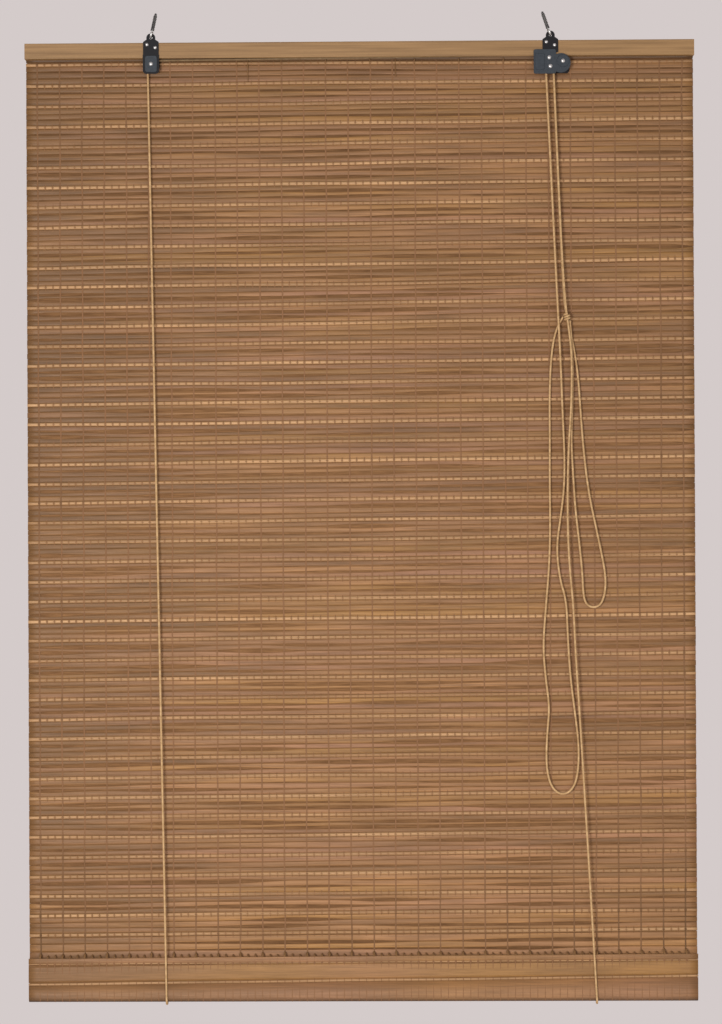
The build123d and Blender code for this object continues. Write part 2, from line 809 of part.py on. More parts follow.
# Hitch: two turns of the tails round the right lift strand
strand_low = Vector(right_strand[-2][0], -right_strand[-2][1], right_strand[-2][2])
strand_high = Vector(right_strand[-1][0], -right_strand[-1][1], right_strand[-1][2])
strand_run = (strand_high - strand_low).normalized()
hitch_centre = (strand_low + strand_high) / 2
with BuildPart() as cord_hitch:
    with BuildSketch(Plane(origin=hitch_centre, z_dir=strand_run)):
        Circle(3 * cord_radius + flat_clearance)
        Circle(cord_radius + flat_clearance, mode=Mode.SUBTRACT)
    extrude(amount=2 * cord_radius, both=True)
    fillet(cord_hitch.edges(), radius=hitch_edge_radius)
keep(cord_hitch.part, "cord_hitch")
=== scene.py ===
import math

import bpy
import numpy as np
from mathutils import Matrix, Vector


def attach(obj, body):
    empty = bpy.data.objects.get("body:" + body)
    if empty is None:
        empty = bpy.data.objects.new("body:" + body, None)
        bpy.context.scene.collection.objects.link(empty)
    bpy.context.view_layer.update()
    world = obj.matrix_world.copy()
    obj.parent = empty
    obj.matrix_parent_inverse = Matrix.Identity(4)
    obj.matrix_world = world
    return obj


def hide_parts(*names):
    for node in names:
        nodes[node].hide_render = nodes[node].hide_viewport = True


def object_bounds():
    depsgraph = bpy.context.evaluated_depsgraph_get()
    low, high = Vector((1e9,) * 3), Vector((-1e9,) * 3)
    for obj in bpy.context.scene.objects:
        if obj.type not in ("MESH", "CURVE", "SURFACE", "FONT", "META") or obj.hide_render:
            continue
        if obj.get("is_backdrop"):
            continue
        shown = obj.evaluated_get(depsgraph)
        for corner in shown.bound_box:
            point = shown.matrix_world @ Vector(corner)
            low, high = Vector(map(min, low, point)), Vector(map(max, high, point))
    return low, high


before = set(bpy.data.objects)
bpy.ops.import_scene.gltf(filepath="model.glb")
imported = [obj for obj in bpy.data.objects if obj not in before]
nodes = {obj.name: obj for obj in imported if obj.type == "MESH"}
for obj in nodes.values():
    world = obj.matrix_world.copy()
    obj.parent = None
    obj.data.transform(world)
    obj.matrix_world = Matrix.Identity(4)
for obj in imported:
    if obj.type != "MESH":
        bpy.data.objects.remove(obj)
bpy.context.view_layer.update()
mm = 0.001
print("frame loaded")


def linear(code):
    # sRGB hex to linear colour
    part = np.array([int(code[k : k + 2], 16) for k in (1, 3, 5)]) / 255
    part = np.where(part <= 0.04045, part / 12.92, ((part + 0.055) / 1.055) ** 2.4)
    return (*part.tolist(), 1.0)


def addNode(tree, kind, links=None, stops=(), **settings):
    # one node with its settings: a link is a value or another node's output, a stop a place and a colour
    node = tree.nodes.new(kind)
    for name, value in settings.items():
        setattr(node, name, value)
    for k, (position, code) in enumerate(stops):
        node.color_ramp.elements[k].position = position
        node.color_ramp.elements[k].color = linear(code)
    for socket, source in (links or {}).items():
        if isinstance(source, bpy.types.NodeSocket):
            tree.links.new(source, node.inputs[socket])
        else:
            node.inputs[socket].default_value = source
    return node


def newMaterial(name):
    material = bpy.data.materials.new(name)
    material.use_nodes = True
    tree = material.node_tree
    return material, tree, tree.nodes["Principled BSDF"]


# Camera and light

view = {
    "place": (0.0556, -3.8409, -0.6389),  # a little right of the middle, nearly 4 m away
    "turn": (90.254, 0.26, 0.832),
    "lens": 99.95,
}
camera = bpy.data.cameras.new("photoCamera")
camera.sensor_fit = "VERTICAL"
camera.sensor_height = 36
camera.lens = view["lens"]
cameraObject = bpy.data.objects.new("photoCamera", camera)
cameraObject.location = view["place"]
cameraObject.rotation_euler = [math.radians(k) for k in view["turn"]]
bpy.context.collection.objects.link(cameraObject)
bpy.context.scene.camera = cameraObject
bpy.context.scene.view_settings.view_transform = "Standard"

# soft boxes: place, aim, size, watts
lamps = {
    "keyBox": ((-0.9, -3.0, -0.8), (0, 0, -0.95), 0.7, 62),
    "fillBox": ((1.2, -2.8, -0.85), (0, 0, -0.95), 1.1, 14),
    "backBox": ((0.4, 2.6, 0.6), (0, 0, -0.6), 2.2, 40),
}
for name, (place, aim, size, watts) in lamps.items():
    lamp = bpy.data.lights.new(name, "AREA")
    lamp.size = size
    lamp.energy = watts
    lampObject = bpy.data.objects.new(name, lamp)
    lampObject.location = place
    direction = np.array(place) - np.array(aim)
    spread = math.hypot(direction[0], direction[1])
    tilt = math.atan2(spread, direction[2])
    lampObject.rotation_euler = (tilt, 0, math.atan2(direction[0], -direction[1]))
    bpy.context.collection.objects.link(lampObject)

room = {"wall": "#D4CBCA", "fill": "#E8E4E0", "fillStrength": 0.62}
world = bpy.data.worlds.new("paleRoom")
world.use_nodes = True
bpy.context.scene.world = world
tree = world.node_tree
tree.nodes.clear()
path = addNode(tree, "ShaderNodeLightPath")
seen = addNode(
    tree,
    "ShaderNodeMath",
    {0: path.outputs["Is Camera Ray"], 1: path.outputs["Is Transmission Ray"]},
    operation="MAXIMUM",
)
seen = addNode(
    tree, "ShaderNodeMath", {0: seen.outputs[0], 1: path.outputs["Is Glossy Ray"]}, operation="MAXIMUM"
)
wall = addNode(tree, "ShaderNodeBackground", {"Color": linear(room["wall"]), "Strength": 1.0})
fill = addNode(
    tree, "ShaderNodeBackground", {"Color": linear(room["fill"]), "Strength": room["fillStrength"]}
)
mixed = addNode(
    tree, "ShaderNodeMixShader", {0: seen.outputs[0], 1: fill.outputs[0], 2: wall.outputs[0]}
)
addNode(tree, "ShaderNodeOutputWorld", {"Surface": mixed.outputs[0]})


# Mesh builders

def outward(points, faces):
    # signed volume of the fans of all faces tells if they point in
    corner = points[faces]
    volume = np.einsum("ij,ij->i", corner[:, 0], np.cross(corner[:, 1], corner[:, 2])).sum()
    volume += np.einsum("ij,ij->i", corner[:, 0], np.cross(corner[:, 2], corner[:, 3])).sum()
    return faces if volume > 0 else faces[:, ::-1]


def makeTubes(name, rings, tone=None, along=None, soft=True):
    # closed tubes from an array of tube, ring, corner, xyz: quads between neighbouring rings, flat caps
    tubes, length, around = rings.shape[:3]
    points = rings.reshape(-1, 3)
    first = (np.arange(tubes) * length * around)[:, None, None]
    ring = (np.arange(length - 1) * around)[None, :, None]
    here = np.arange(around)[None, None, :]
    ahead = (np.arange(around) + 1)[None, None, :] % around
    base = first + ring
    quads = np.stack([base + here, base + ahead, base + ahead + around, base + here + around], -1)
    quads = quads.reshape(-1, 4)
    turned = outward(points - points.mean(0), quads)
    flipped = turned is not quads
    caps = first[:, 0] + np.arange(around)[None, :]
    ends = caps + (length - 1) * around
    starts = caps if flipped else caps[:, ::-1]
    ends = ends[:, ::-1] if flipped else ends
    mesh = bpy.data.meshes.new(name)
    mesh.from_pydata(points.tolist(), [], turned.tolist() + starts.tolist() + ends.tolist())
    smooth = np.full(len(mesh.polygons), soft)
    smooth[len(quads) :] = False
    mesh.polygons.foreach_set("use_smooth", smooth)
    if tone is not None:
        colour = np.ones((tubes, length, around, 4))
        colour[..., :3] = tone[:, :, None, :]
        layer = mesh.attributes.new("tone", "FLOAT_COLOR", "POINT")
        layer.data.foreach_set("color", colour.ravel())
    if along is not None:
        layer = mesh.attributes.new("along", "FLOAT", "POINT")
        layer.data.foreach_set("value", np.repeat(along.ravel(), around))
    made = bpy.data.objects.new(name, mesh)
    bpy.context.collection.objects.link(made)
    return made


def wander(rng, rows, count, knots):
    # smooth noise from 0 to 1 in each row: random knots joined by eased steps
    values = rng.random((rows, knots + 2))
    at = np.linspace(0, knots, count)[None, :] + rng.random((rows, 1))
    low = np.floor(at).astype(int)
    part = at - low
    part = part * part * (3 - 2 * part)
    row = np.arange(rows)[:, None]
    return values[row, low] * (1 - part) + values[row, low + 1] * part


def mix(first, second, part):
    # blend of two linear colours by an array
    return np.array(first[:3]) * (1 - part[..., None]) + np.array(second[:3]) * part[..., None]


def carry(centre, reference, profile, turn=None):
    # profile of (side, lift) pairs carried along a path; turn is how far it is rolled at each point
    ahead = np.gradient(centre, axis=0)
    ahead /= np.linalg.norm(ahead, axis=1, keepdims=True)
    side = np.cross(ahead, np.array(reference, dtype=float))
    side /= np.linalg.norm(side, axis=1, keepdims=True)
    lift = np.cross(side, ahead)
    turn = np.zeros(len(centre)) if turn is None else turn
    cosine = np.cos(turn)[:, None]
    sine = np.sin(turn)[:, None]
    across = profile[None, :, 0] * cosine - profile[None, :, 1] * sine
    upward = profile[None, :, 0] * sine + profile[None, :, 1] * cosine
    return centre[:, None] + across[..., None] * side[:, None] + upward[..., None] * lift[:, None]


def measure(centre):
    step = np.linalg.norm(np.diff(centre, axis=0), axis=1)
    return np.concatenate([[0], np.cumsum(step)])


# Cords: three strands laid round each other, read along the smooth line of each route

cord = {
    "diameter": 0.003,
    "twist": 0.0105,  # one full turn of the strands
    "step": 0.0016,
    "strands": 3,
    "corners": 9,
    "lobe": 0.16,  # how deep the valleys between strands are
    "pullSide": (0, 1, 0),  # directions that the cords never run along, to roll their section from
    "liftSide": (1, 0.9, 0.8),
    "lockX": 0.2557,  # the routes below are measured from here
    "matDepth": 0.0127,
    "exitFront": (0.251611, -0.023082, -0.037),
    "exitRear": (0.261773, -0.0182, -0.037),
}
# right, in front of the mat and up, from the lock's centre line, in millimetres
rightPull = [
    (8.7, 10.2, -325),
    (11.1, 9.8, -372),
    (13.8, 8.9, -430),
    (15.8, 7.9, -490),
    (18.3, 6.9, -545),
    (17.8, 6.6, -590),
    (12.3, 6.6, -632),
    (6.7, 6.6, -670),
    (10.8, 6.7, -712),
    (19.8, 6.9, -742),
    (21.3, 7.2, -788),
    (24.3, 7.5, -843),
    (30.8, 7.9, -895),
    (35.5, 8.1, -935),
    (34.8, 8.1, -968),
    (30.3, 8, -989),
    (21.3, 7.7, -1000.5),
    (9.3, 7.3, -1002),
    (-0.7, 6.8, -993),
    (-6.2, 6.5, -977),
    (-8.4, 6.3, -955),
    (-6.7, 6.3, -918),
    (-3.4, 6.3, -885),
    (-8.7, 6.3, -845),
    (-11.9, 6.3, -803),
    (-7.7, 6.2, -750),
    (-2.7, 6.1, -692),
    (-1.3, 5.8, -635),
    (-1.8, 5.6, -580),
    (-1.3, 5.3, -522),
    (-1.5, 5.1, -465),
    (1.1, 4.9, -410),
    (8.3, 5.3, -374),
    (17.3, 7.3, -361),
]
leftPull = [
    (16.8, 4.5, -325),
    (22.8, 4.2, -365),
    (31.8, 4.5, -403),
    (37.3, 5.3, -443),
    (40.6, 5.8, -498),
    (44.6, 6.1, -550),
    (50.8, 6.3, -600),
    (60.8, 6.5, -648),
    (69.1, 6.6, -688),
    (72.6, 6.6, -712),
    (71.9, 6.6, -730),
    (68.3, 6.6, -742.9),
    (63.7, 6.7, -749.2),
    (56.3, 6.8, -751.6),
    (48.9, 6.9, -749.2),
    (44.3, 7.1, -742.9),
    (42.1, 7.3, -729),
    (41.3, 7.5, -705),
    (37.5, 7.5, -665),
    (32.3, 7.4, -620),
    (29.3, 7.3, -570),
    (27.1, 7.3, -525),
    (28.9, 7.4, -480),
    (29.8, 7.5, -435),
    (28.7, 7.9, -400),
    (26.3, 8, -366),
]
rightLift = [
    (0, -3.5, 10.2),
    (57.4, -3.5, -1264.7),
    (58.2, -3.5, -1282.3),
    (58.2, 14.1, -1282.3),
    (57.2, 14.1, -1264.7),
    (37.8, 13.1, -915),
    (31.3, 12.8, -812),
    (28.8, 12.6, -748),
    (23.3, 12.3, -690),
    (21.3, 12.1, -625),
    (22.8, 11.8, -545),
    (27.5, 11.6, -480),
    (28.3, 11.5, -430),
    (27.3, 11.4, -397),
    (17.3, 11.1, -325),
    (5.4, 10.4, -18.2),
    (5, 10.4, -8.2),
    (-5, 10.4, -8.2),
    (-4.6, 10.4, -18.2),
    (-4.1, 10.4, -37),
]
leftLift = [
    (-535.2, -3.5, 10.2),
    (-519.4, -3.5, -1264.7),
    (-519.2, -3.5, -1282.3),
    (-519.2, 14.1, -1282.3),
    (-519.4, 14, -1264.7),
    (-540, 7.5, -23.2),
    (-540.2, 7.4, -13.2),
    (-530.2, 7.4, -13.1),
    (-5, 5.6, -8.3),
    (5, 5.6, -8.2),
    (5.4, 5.6, -18.2),
    (6.1, 5.5, -37),
]


def fromLock(route):
    place = np.array(route, dtype=float) * mm
    return np.column_stack([cord["lockX"] + place[:, 0], -(cord["matDepth"] + place[:, 1]), place[:, 2]])


def smoothLine(name, route, step):
    # NURBS line with the route as its control points, read back at even steps
    curve = bpy.data.curves.new(name, "CURVE")
    curve.dimensions = "3D"
    curve.resolution_u = 32
    spline = curve.splines.new("NURBS")
    spline.points.add(len(route) - 1)
    spline.points.foreach_set("co", np.column_stack([route, np.ones(len(route))]).ravel())
    spline.order_u = 3
    spline.use_endpoint_u = True
    holder = bpy.data.objects.new(name, curve)
    bpy.context.collection.objects.link(holder)
    mesh = bpy.data.meshes.new_from_object(holder)
    read = np.empty(len(mesh.vertices) * 3)
    mesh.vertices.foreach_get("co", read)
    read = read.reshape(-1, 3)
    bpy.data.meshes.remove(mesh)
    bpy.data.objects.remove(holder)
    bpy.data.curves.remove(curve)
    run = measure(read)
    keep = np.concatenate([[True], np.diff(run) > 1e-9])
    even = np.linspace(0, run[-1], int(run[-1] / step) + 2)
    return np.column_stack([np.interp(even, run[keep], read[keep, k]) for k in range(3)])


lobes = np.arange(cord["corners"]) * math.tau / cord["corners"]
valley = 0.5 - 0.5 * np.cos(cord["strands"] * lobes)
lobeRadius = cord["diameter"] / 2 * (1 - cord["lobe"] * valley)
lobeProfile = np.column_stack([lobeRadius * np.cos(lobes), lobeRadius * np.sin(lobes)])


def layCord(name, line, reference):
    # trefoil section rolled along the line, so its lobes run round it as strands
    run = measure(line)
    rings = carry(line, reference, lobeProfile, run * math.tau / cord["twist"])
    return makeTubes(name, rings[None], along=run[None])


rightPullLine = smoothLine("rightPull", np.vstack([cord["exitFront"], fromLock(rightPull)]), cord["step"])
leftPullLine = smoothLine("leftPull", np.vstack([cord["exitRear"], fromLock(leftPull)]), cord["step"])
rightLiftLine = smoothLine("rightLift", fromLock(rightLift), cord["step"])
leftLiftLine = smoothLine("leftLift", fromLock(leftLift), cord["step"])
rightPullCord = layCord("rightPullCord", rightPullLine, cord["pullSide"])
leftPullCord = layCord("leftPullCord", leftPullLine, cord["pullSide"])
rightLiftCord = layCord("rightLiftCord", rightLiftLine, cord["liftSide"])
leftLiftCord = layCord("leftLiftCord", leftLiftLine, cord["liftSide"])
cordLines = (rightPullLine, leftPullLine, rightLiftLine, leftLiftLine)
print("cords laid, in metres", [round(float(measure(line)[-1]), 3) for line in cordLines])

# Hitch: the tails wound round the right lift strand, halfway between two points of its route
hitch = {"lowPoint": 13, "highPoint": 14, "turns": 2.3, "radius": 0.0032, "rise": 0.0075, "rings": 120}
low, high = fromLock([rightLift[hitch["lowPoint"]], rightLift[hitch["highPoint"]]])
axis = (high - low) / np.linalg.norm(high - low)
sideways = np.cross(axis, (0, 1, 0))
sideways /= np.linalg.norm(sideways)
forward = np.cross(axis, sideways)
angle = np.linspace(0, hitch["turns"] * math.tau, hitch["rings"])
coil = (low + high) / 2 + np.outer(np.linspace(-0.5, 0.5, hitch["rings"]) * hitch["rise"], axis)
coil += hitch["radius"] * (np.outer(np.cos(angle), sideways) + np.outer(np.sin(angle), forward))
hitchCoil = layCord("hitchCoil", coil, axis)

# Stop knots: a trefoil of the same cord pulled tight on top of the rail
knot = {
    "places": {"leftStopKnot": -0.2795, "rightStopKnot": 0.2557},
    "depth": 0.0092,
    "railTop": 0.0105,
    "rise": 0.0036,
    "size": 0.00105,
    "squash": (0.72, 0.72, 0.9),
    "loops": 1.6,  # reach of the three loops past the ring that they go round
    "roll": 1.35,  # how far the cord rises and dips where it crosses itself
    "side": (0.3, 0.2, 1),
    "rings": 140,
}
angle = np.linspace(0, math.tau, knot["rings"])
trefoil = np.column_stack(
    [
        np.sin(angle) + knot["loops"] * np.sin(2 * angle),
        np.cos(angle) - knot["loops"] * np.cos(2 * angle),
        -knot["roll"] * np.sin(3 * angle),
    ]
)
knots = []
for name, place in knot["places"].items():
    centre = trefoil * knot["size"] * np.array(knot["squash"])
    centre = centre + np.array([place, -knot["depth"], knot["railTop"] + knot["rise"]])
    knots.append(layCord(name, centre, knot["side"]))

cordPieces = [rightPullCord, leftPullCord, rightLiftCord, leftLiftCord, hitchCoil, *knots]
cordNodes = (
    "right_pull_cord",
    "left_pull_cord",
    "right_lift_cord",
    "left_lift_cord",
    "cord_hitch",
    "left_cord_knot",
    "right_cord_knot",
)
for piece, node in zip(cordPieces, cordNodes):
    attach(piece, "blind")
    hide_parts(node)

# Woven mat: a thin reed and three flat slats in each repeat, with slots where the slats bow apart, dark
# with the painted shade of the tie web behind

mat = {
    "half": 0.4492,  # in metres; depths, heights and all sizes below are in millimetres
    "panelHalf": 450,
    "depth": 12.7,
    "batten": -10.5,
    "behindBatten": 6.0,  # where the first slat starts
    "firstReed": -16.4,
    "repeats": 45,
    "upperRows": 10,
    "upperPitch": 27.1,  # the weave is looser near the head
    "lowerPitch": 26.48,
    "skew": 0.0085,  # the slats climb to the right against the head, but for the first few rows
    "levelRows": 3,
    "rowWander": 1.8,
    "slatThick": 1.3,
    "reedRadius": 2.4,
    "reedFlat": 0.78,
    "reedGap": 0.4,
    "rings": 73,
    "seed": 11,
}
# four slots in each repeat: below the reed, twice between slats, and above the next reed
slot = {
    "share": np.array([0.075, 0.355, 0.64, 0.925]),  # how far down the repeat each one is
    "base": np.array([0.1, 0.06, 0.06, 0.1]),  # half height where the slats lie close
    "swell": np.array([0.9, 2.8, 2.8, 0.9]),  # what is added where they bow apart
    "stray": np.array([0.0, 1.8, 1.8, 0.0]),
    "calm": 0.28,  # noise below this leaves a slot closed
    "power": 1.1,
    "tied": 0.05,  # share of the half width over which the slots close at the sides
    "tightRows": 8,
    "tightest": 0.4,
}
slat = {
    "corners": 8,
    "square": 0.35,  # powers of sine and cosine: a small one squares the section off
    "round": 0.8,
    "lean": 0.05,
    "shift": 0.22,
    "endStray": 0.0004,  # in metres
}
stain = {
    "ownHue": 0.55,  # from golden to rosy
    "hueDrift": 0.6,
    "hueDrop": 0.08,
    "ownDark": 0.5,
    "darkPower": 1.5,
    "darkDrift": 0.7,
    "darkDrop": 0.4,
    # painted shade: the slats darken towards the left and right sides
    "leftPaintedShade": 1.0,
    "leftFrom": 0.35,
    "rightPaintedShade": 0.25,
    "rightFrom": 0.45,
    "mottle": 0.14,
    # painted light and shade: the slats are darker at the head and lighter towards the hem
    "paintedLightAndShadeByRow": (0.97, 0.96, 1.13),  # level at the head, half way down and at the hem
    # painted shade: the first slat, just under the batten, is darker
    "paintedShadeUnderBatten": 0.6,
}
reed = {
    "forward": 0.3,
    "slimmest": 0.9,
    "swell": 0.14,
    "shine": 0.3,
    "shineStray": 0.3,
    "glint": 0.8,
    "bright": 0.4,
    "brightRows": (6, 18, 20, 28),
    "faint": 0.3,
    "faintRows": (0, 2, 4, 32, 35, 40),
    "corners": 8,
    "rings": 110,
}
hem = {
    "top": -1217.5,
    "topSkew": 0.005,
    "lastRow": 5,  # how far below the hem's top edge the weave ends behind it
    "edge": 0.5,
    "dots": -1226.0,  # a thin reed near the top of the hem
    "dotsGap": 0.6,
    "backDotsGap": 1.0,
    "reed": -1250.3,
    "reedSkew": 0.011,
    "reedGap": 1.9,
    "reedForward": 0.2,
    "reedWander": 0.8,
    "reedSlimmest": 0.9,
    "reedSwell": 0.2,
    "reedGlint": 0.6,
    "ripple": 0.7,
    "tone": 1.04,
    "fold": -1273.5,
    "front": 23.3,
    "middle": 18.0,
    "radius": 5.3,
    "bendRings": 13,
}
golden = linear("#906632")
rosy = linear("#8F6446")
deep = linear("#6F4C26")
paleReed = linear("#B88F64")
dullReed = linear("#936C45")

rng = np.random.default_rng(mat["seed"])
repeats = mat["repeats"]
rings = mat["rings"]
across = np.linspace(-1, 1, rings)
sideways = across * mat["half"] / mm
row = np.arange(repeats)
reedRow = mat["firstReed"] - mat["upperPitch"] * np.minimum(row, mat["upperRows"])
reedRow = reedRow - mat["lowerPitch"] * np.maximum(row - mat["upperRows"], 0)
# the line of every reed, and one just behind the hem's top edge
rowSkew = mat["skew"] * np.clip(row / mat["levelRows"], 0, 1)
rowLine = reedRow[:, None] + rowSkew[:, None] * sideways
rowLine = rowLine + mat["rowWander"] * (wander(rng, repeats, rings, knots=4) - 0.5)
rowLine = np.vstack([rowLine, hem["top"] - hem["lastRow"] + hem["topSkew"] * sideways])

slots = len(slot["share"])
slotMiddle = rowLine[:-1, None] + (rowLine[1:, None] - rowLine[:-1, None]) * slot["share"][None, :, None]
stray = (wander(rng, repeats * slots, rings, knots=7) - 0.5).reshape(repeats, slots, rings)
slotMiddle = slotMiddle + slot["stray"][None, :, None] * stray
swell = (wander(rng, repeats * slots, rings, knots=9) - slot["calm"]) / (1 - slot["calm"])
swell = np.clip(swell, 0, 1) ** slot["power"]
swell = swell * np.clip((1 - np.abs(across)) / slot["tied"], 0, 1)
# the weave is tighter in the first rows below the batten
tightness = np.interp(row, (0, slot["tightRows"]), (slot["tightest"], 1))
swell = (swell * np.repeat(tightness, slots)[:, None]).reshape(repeats, slots, rings)
slotHalf = slot["base"][None, :, None] + slot["swell"][None, :, None] * swell
slatTop = (slotMiddle[:, :-1] - slotHalf[:, :-1]).reshape(-1, rings)
slatFoot = (slotMiddle[:, 1:] + slotHalf[:, 1:]).reshape(-1, rings)
# one more slat comes out from behind the batten
slatTop = np.vstack([np.full((1, rings), mat["behindBatten"]), slatTop])
slatFoot = np.vstack([rowLine[:1] + mat["reedRadius"] + mat["reedGap"], slatFoot])


def slatRings(rng, top, foot, depth):
    # rounded oblong section: height from foot to top, thickness in depth, a little tilted and shifted
    rows, count = top.shape
    corners = slat["corners"]
    angle = (np.arange(corners) + 0.5) * math.tau / corners
    tall = np.sign(np.sin(angle)) * np.abs(np.sin(angle)) ** slat["square"]
    stout = np.sign(np.cos(angle)) * np.abs(np.cos(angle)) ** slat["round"]
    stout = stout / np.cos(math.pi / corners) ** slat["round"]
    middle = (top + foot) / 2
    reach = (top - foot) / 2
    lean = slat["lean"] * (rng.random((rows, 1)) - 0.5)
    lean = lean + slat["lean"] * (wander(rng, rows, count, knots=4) - 0.5)
    shift = slat["shift"] * (wander(rng, rows, count, knots=5) - 0.5)
    upward = middle[..., None] + reach[..., None] * tall
    inward = depth + shift[..., None] + lean[..., None] * reach[..., None] * tall
    inward = inward + mat["slatThick"] / 2 * stout
    ends = mat["half"] + slat["endStray"] * (rng.random((rows, 2)) - 0.5)
    spread = np.linspace(-1, 1, count)
    along = np.where(spread < 0, spread * ends[:, :1], spread * ends[:, 1:])
    made = np.empty((rows, count, corners, 3))
    made[..., 0] = along[..., None]
    made[..., 1] = -inward * mm
    made[..., 2] = upward * mm
    return made


def slatTone(rng, rows, count):
    # stained bamboo: every slat has its own tone, which drifts along it, and the sides are darkened with
    # painted shade
    hue = stain["ownHue"] * rng.random((rows, 1)) + stain["hueDrift"] * wander(rng, rows, count, knots=6)
    hue = np.clip(hue - stain["hueDrop"], 0, 1)
    dark = stain["ownDark"] * rng.random((rows, 1)) ** stain["darkPower"]
    dark = dark + stain["darkDrift"] * (wander(rng, rows, count, knots=9) - stain["darkDrop"])
    spread = np.linspace(-1, 1, count)[None, :]
    left = stain["leftPaintedShade"] * np.clip(-spread - stain["leftFrom"], 0, 1)
    right = stain["rightPaintedShade"] * np.clip(spread - stain["rightFrom"], 0, 1)
    dark = np.clip(dark + (left + right), 0, 1)
    level = 1 + stain["mottle"] * (wander(rng, rows, count, knots=14) - 0.5)
    tone = mix(golden, rosy, hue)
    return (tone * (1 - dark[..., None]) + np.array(deep[:3]) * dark[..., None]) * level[..., None]


slatPoints = slatRings(rng, slatTop, slatFoot, mat["depth"])
# painted shade on the first slat under the batten, painted light towards the hem
paintedLightAndShadeByRow = np.interp(np.linspace(0, 1, len(slatTop)), (0, 0.5, 1), stain["paintedLightAndShadeByRow"])
paintedLightAndShadeByRow[0] = stain["paintedShadeUnderBatten"]
slats = makeTubes("bambooSlats", slatPoints, slatTone(rng, len(slatTop), rings) * paintedLightAndShadeByRow[:, None, None])

reedAt = np.linspace(-1, 1, reed["rings"])
corner = np.arange(reed["corners"]) * math.tau / reed["corners"]


def layReeds(name, height, depth, radius, shine):
    # round reeds along the rows of heights, paler where they shine
    made = np.empty((*height.shape, reed["corners"], 3))
    made[..., 0] = (reedAt * mat["half"])[None, :, None]
    made[..., 1] = -(depth[..., None] + mat["reedFlat"] * radius[..., None] * np.cos(corner)) * mm
    made[..., 2] = (height[..., None] + radius[..., None] * np.sin(corner)) * mm
    return makeTubes(name, made, mix(dullReed, paleReed, np.clip(shine, 0, 1)))


reedHeight = np.array([np.interp(reedAt, across, line) for line in rowLine[:-1]])
reedDepth = np.full((repeats, 1), mat["depth"] + reed["forward"])
reedSwell = reed["slimmest"] + reed["swell"] * wander(rng, repeats, reed["rings"], knots=6)
rowShine = reed["shine"] + reed["shineStray"] * rng.random(repeats)
rowShine[list(reed["brightRows"])] += reed["bright"]
rowShine[list(reed["faintRows"])] -= reed["faint"]
shine = rowShine[:, None] + reed["glint"] * (wander(rng, repeats, reed["rings"], knots=8) - 0.5)
reeds = layReeds("paleReeds", reedHeight, reedDepth, mat["reedRadius"] * reedSwell, shine)

# Hem: a narrow and a wide slat with reeds on each layer, and one slat bent round the fold

hemTop = hem["top"] - hem["edge"]
wideFoot = hem["reed"] + hem["reedGap"]
# top, foot, depth, slope of the top and slope of the foot
hemRows = np.array(
    [
        (hemTop, hem["dots"] + hem["dotsGap"], hem["front"], hem["topSkew"], hem["topSkew"]),
        (hem["dots"] - hem["dotsGap"], wideFoot, hem["front"], hem["topSkew"], hem["reedSkew"]),
        (hemTop, hem["dots"] + hem["backDotsGap"], mat["depth"], hem["topSkew"], hem["topSkew"]),
        (hem["dots"] - hem["backDotsGap"], wideFoot, mat["depth"], hem["topSkew"], hem["reedSkew"]),
    ]
)
hemCount = len(hemRows)
ripple = hem["ripple"] * (wander(rng, 2 * hemCount, rings, knots=6) - 0.5)
hemSlats = makeTubes(
    "hemSlats",
    slatRings(
        rng,
        hemRows[:, :1] + hemRows[:, 3:4] * sideways + ripple[:hemCount],
        hemRows[:, 1:2] + hemRows[:, 4:5] * sideways + ripple[hemCount:],
        hemRows[:, 2][:, None, None],
    ),
    slatTone(rng, hemCount, rings) * hem["tone"],
)
# height, depth, slope, radius and shine of each reed
hemReedRows = np.array(
    [
        (hem["dots"], hem["front"], hem["topSkew"], 0.8, 0.25),
        (hem["reed"], hem["front"], hem["reedSkew"], 1.6, 0.55),
        (hem["dots"], mat["depth"], hem["topSkew"], 0.8, 0.25),
        (hem["reed"], mat["depth"], hem["reedSkew"], 1.45, 0.4),
    ]
)
hemReedHeight = hemReedRows[:, :1] + hemReedRows[:, 2:3] * reedAt * mat["panelHalf"]
hemReedHeight = hemReedHeight + hem["reedWander"] * (wander(rng, hemCount, reed["rings"], knots=7) - 0.5)
hemReedSwell = hem["reedSlimmest"] + hem["reedSwell"] * wander(rng, hemCount, reed["rings"], knots=8)
hemReedShine = hem["reedGlint"] * (wander(rng, hemCount, reed["rings"], knots=8) - 0.5)
hemReeds = layReeds(
    "hemReeds",
    hemReedHeight,
    hemReedRows[:, 1:2] + hem["reedForward"],
    hemReedRows[:, 3:4] * hemReedSwell,
    hemReedRows[:, 4:5] + hemReedShine,
)

# section of the bent slat: (out from its middle, round the fold, up to its edges)
turn = np.linspace(math.pi, 2 * math.pi, hem["bendRings"])
bend = np.column_stack([np.cos(turn), np.sin(turn), np.zeros(hem["bendRings"])])
bend = np.vstack([(-1, 0, 1), bend, (1, 0, 1)])
outer = hem["radius"] + mat["slatThick"] / 2
inner = hem["radius"] - mat["slatThick"] / 2
section = np.vstack([bend * (outer, outer, 1), bend[::-1] * (inner, inner, 1)])
foldPoints = np.empty((1, rings, len(section), 3))
foldEdge = hem["reed"] - hem["reedGap"] - hem["fold"] + hem["reedSkew"] * sideways
foldPoints[..., 0] = (across * mat["half"])[None, :, None]
foldPoints[..., 1] = -(hem["middle"] + section[:, 0]) * mm
foldPoints[..., 2] = (hem["fold"] + section[:, 1] + section[:, 2] * foldEdge[None, :, None]) * mm
foldSlat = makeTubes("foldSlat", foldPoints, slatTone(rng, 1, rings) * hem["tone"])

# Web of tie threads behind the slots, coloured as painted shade, which shows as dark lines
tie = {"halfThick": 0.25, "belowTop": 3, "inset": 0.001, "rings": 30}
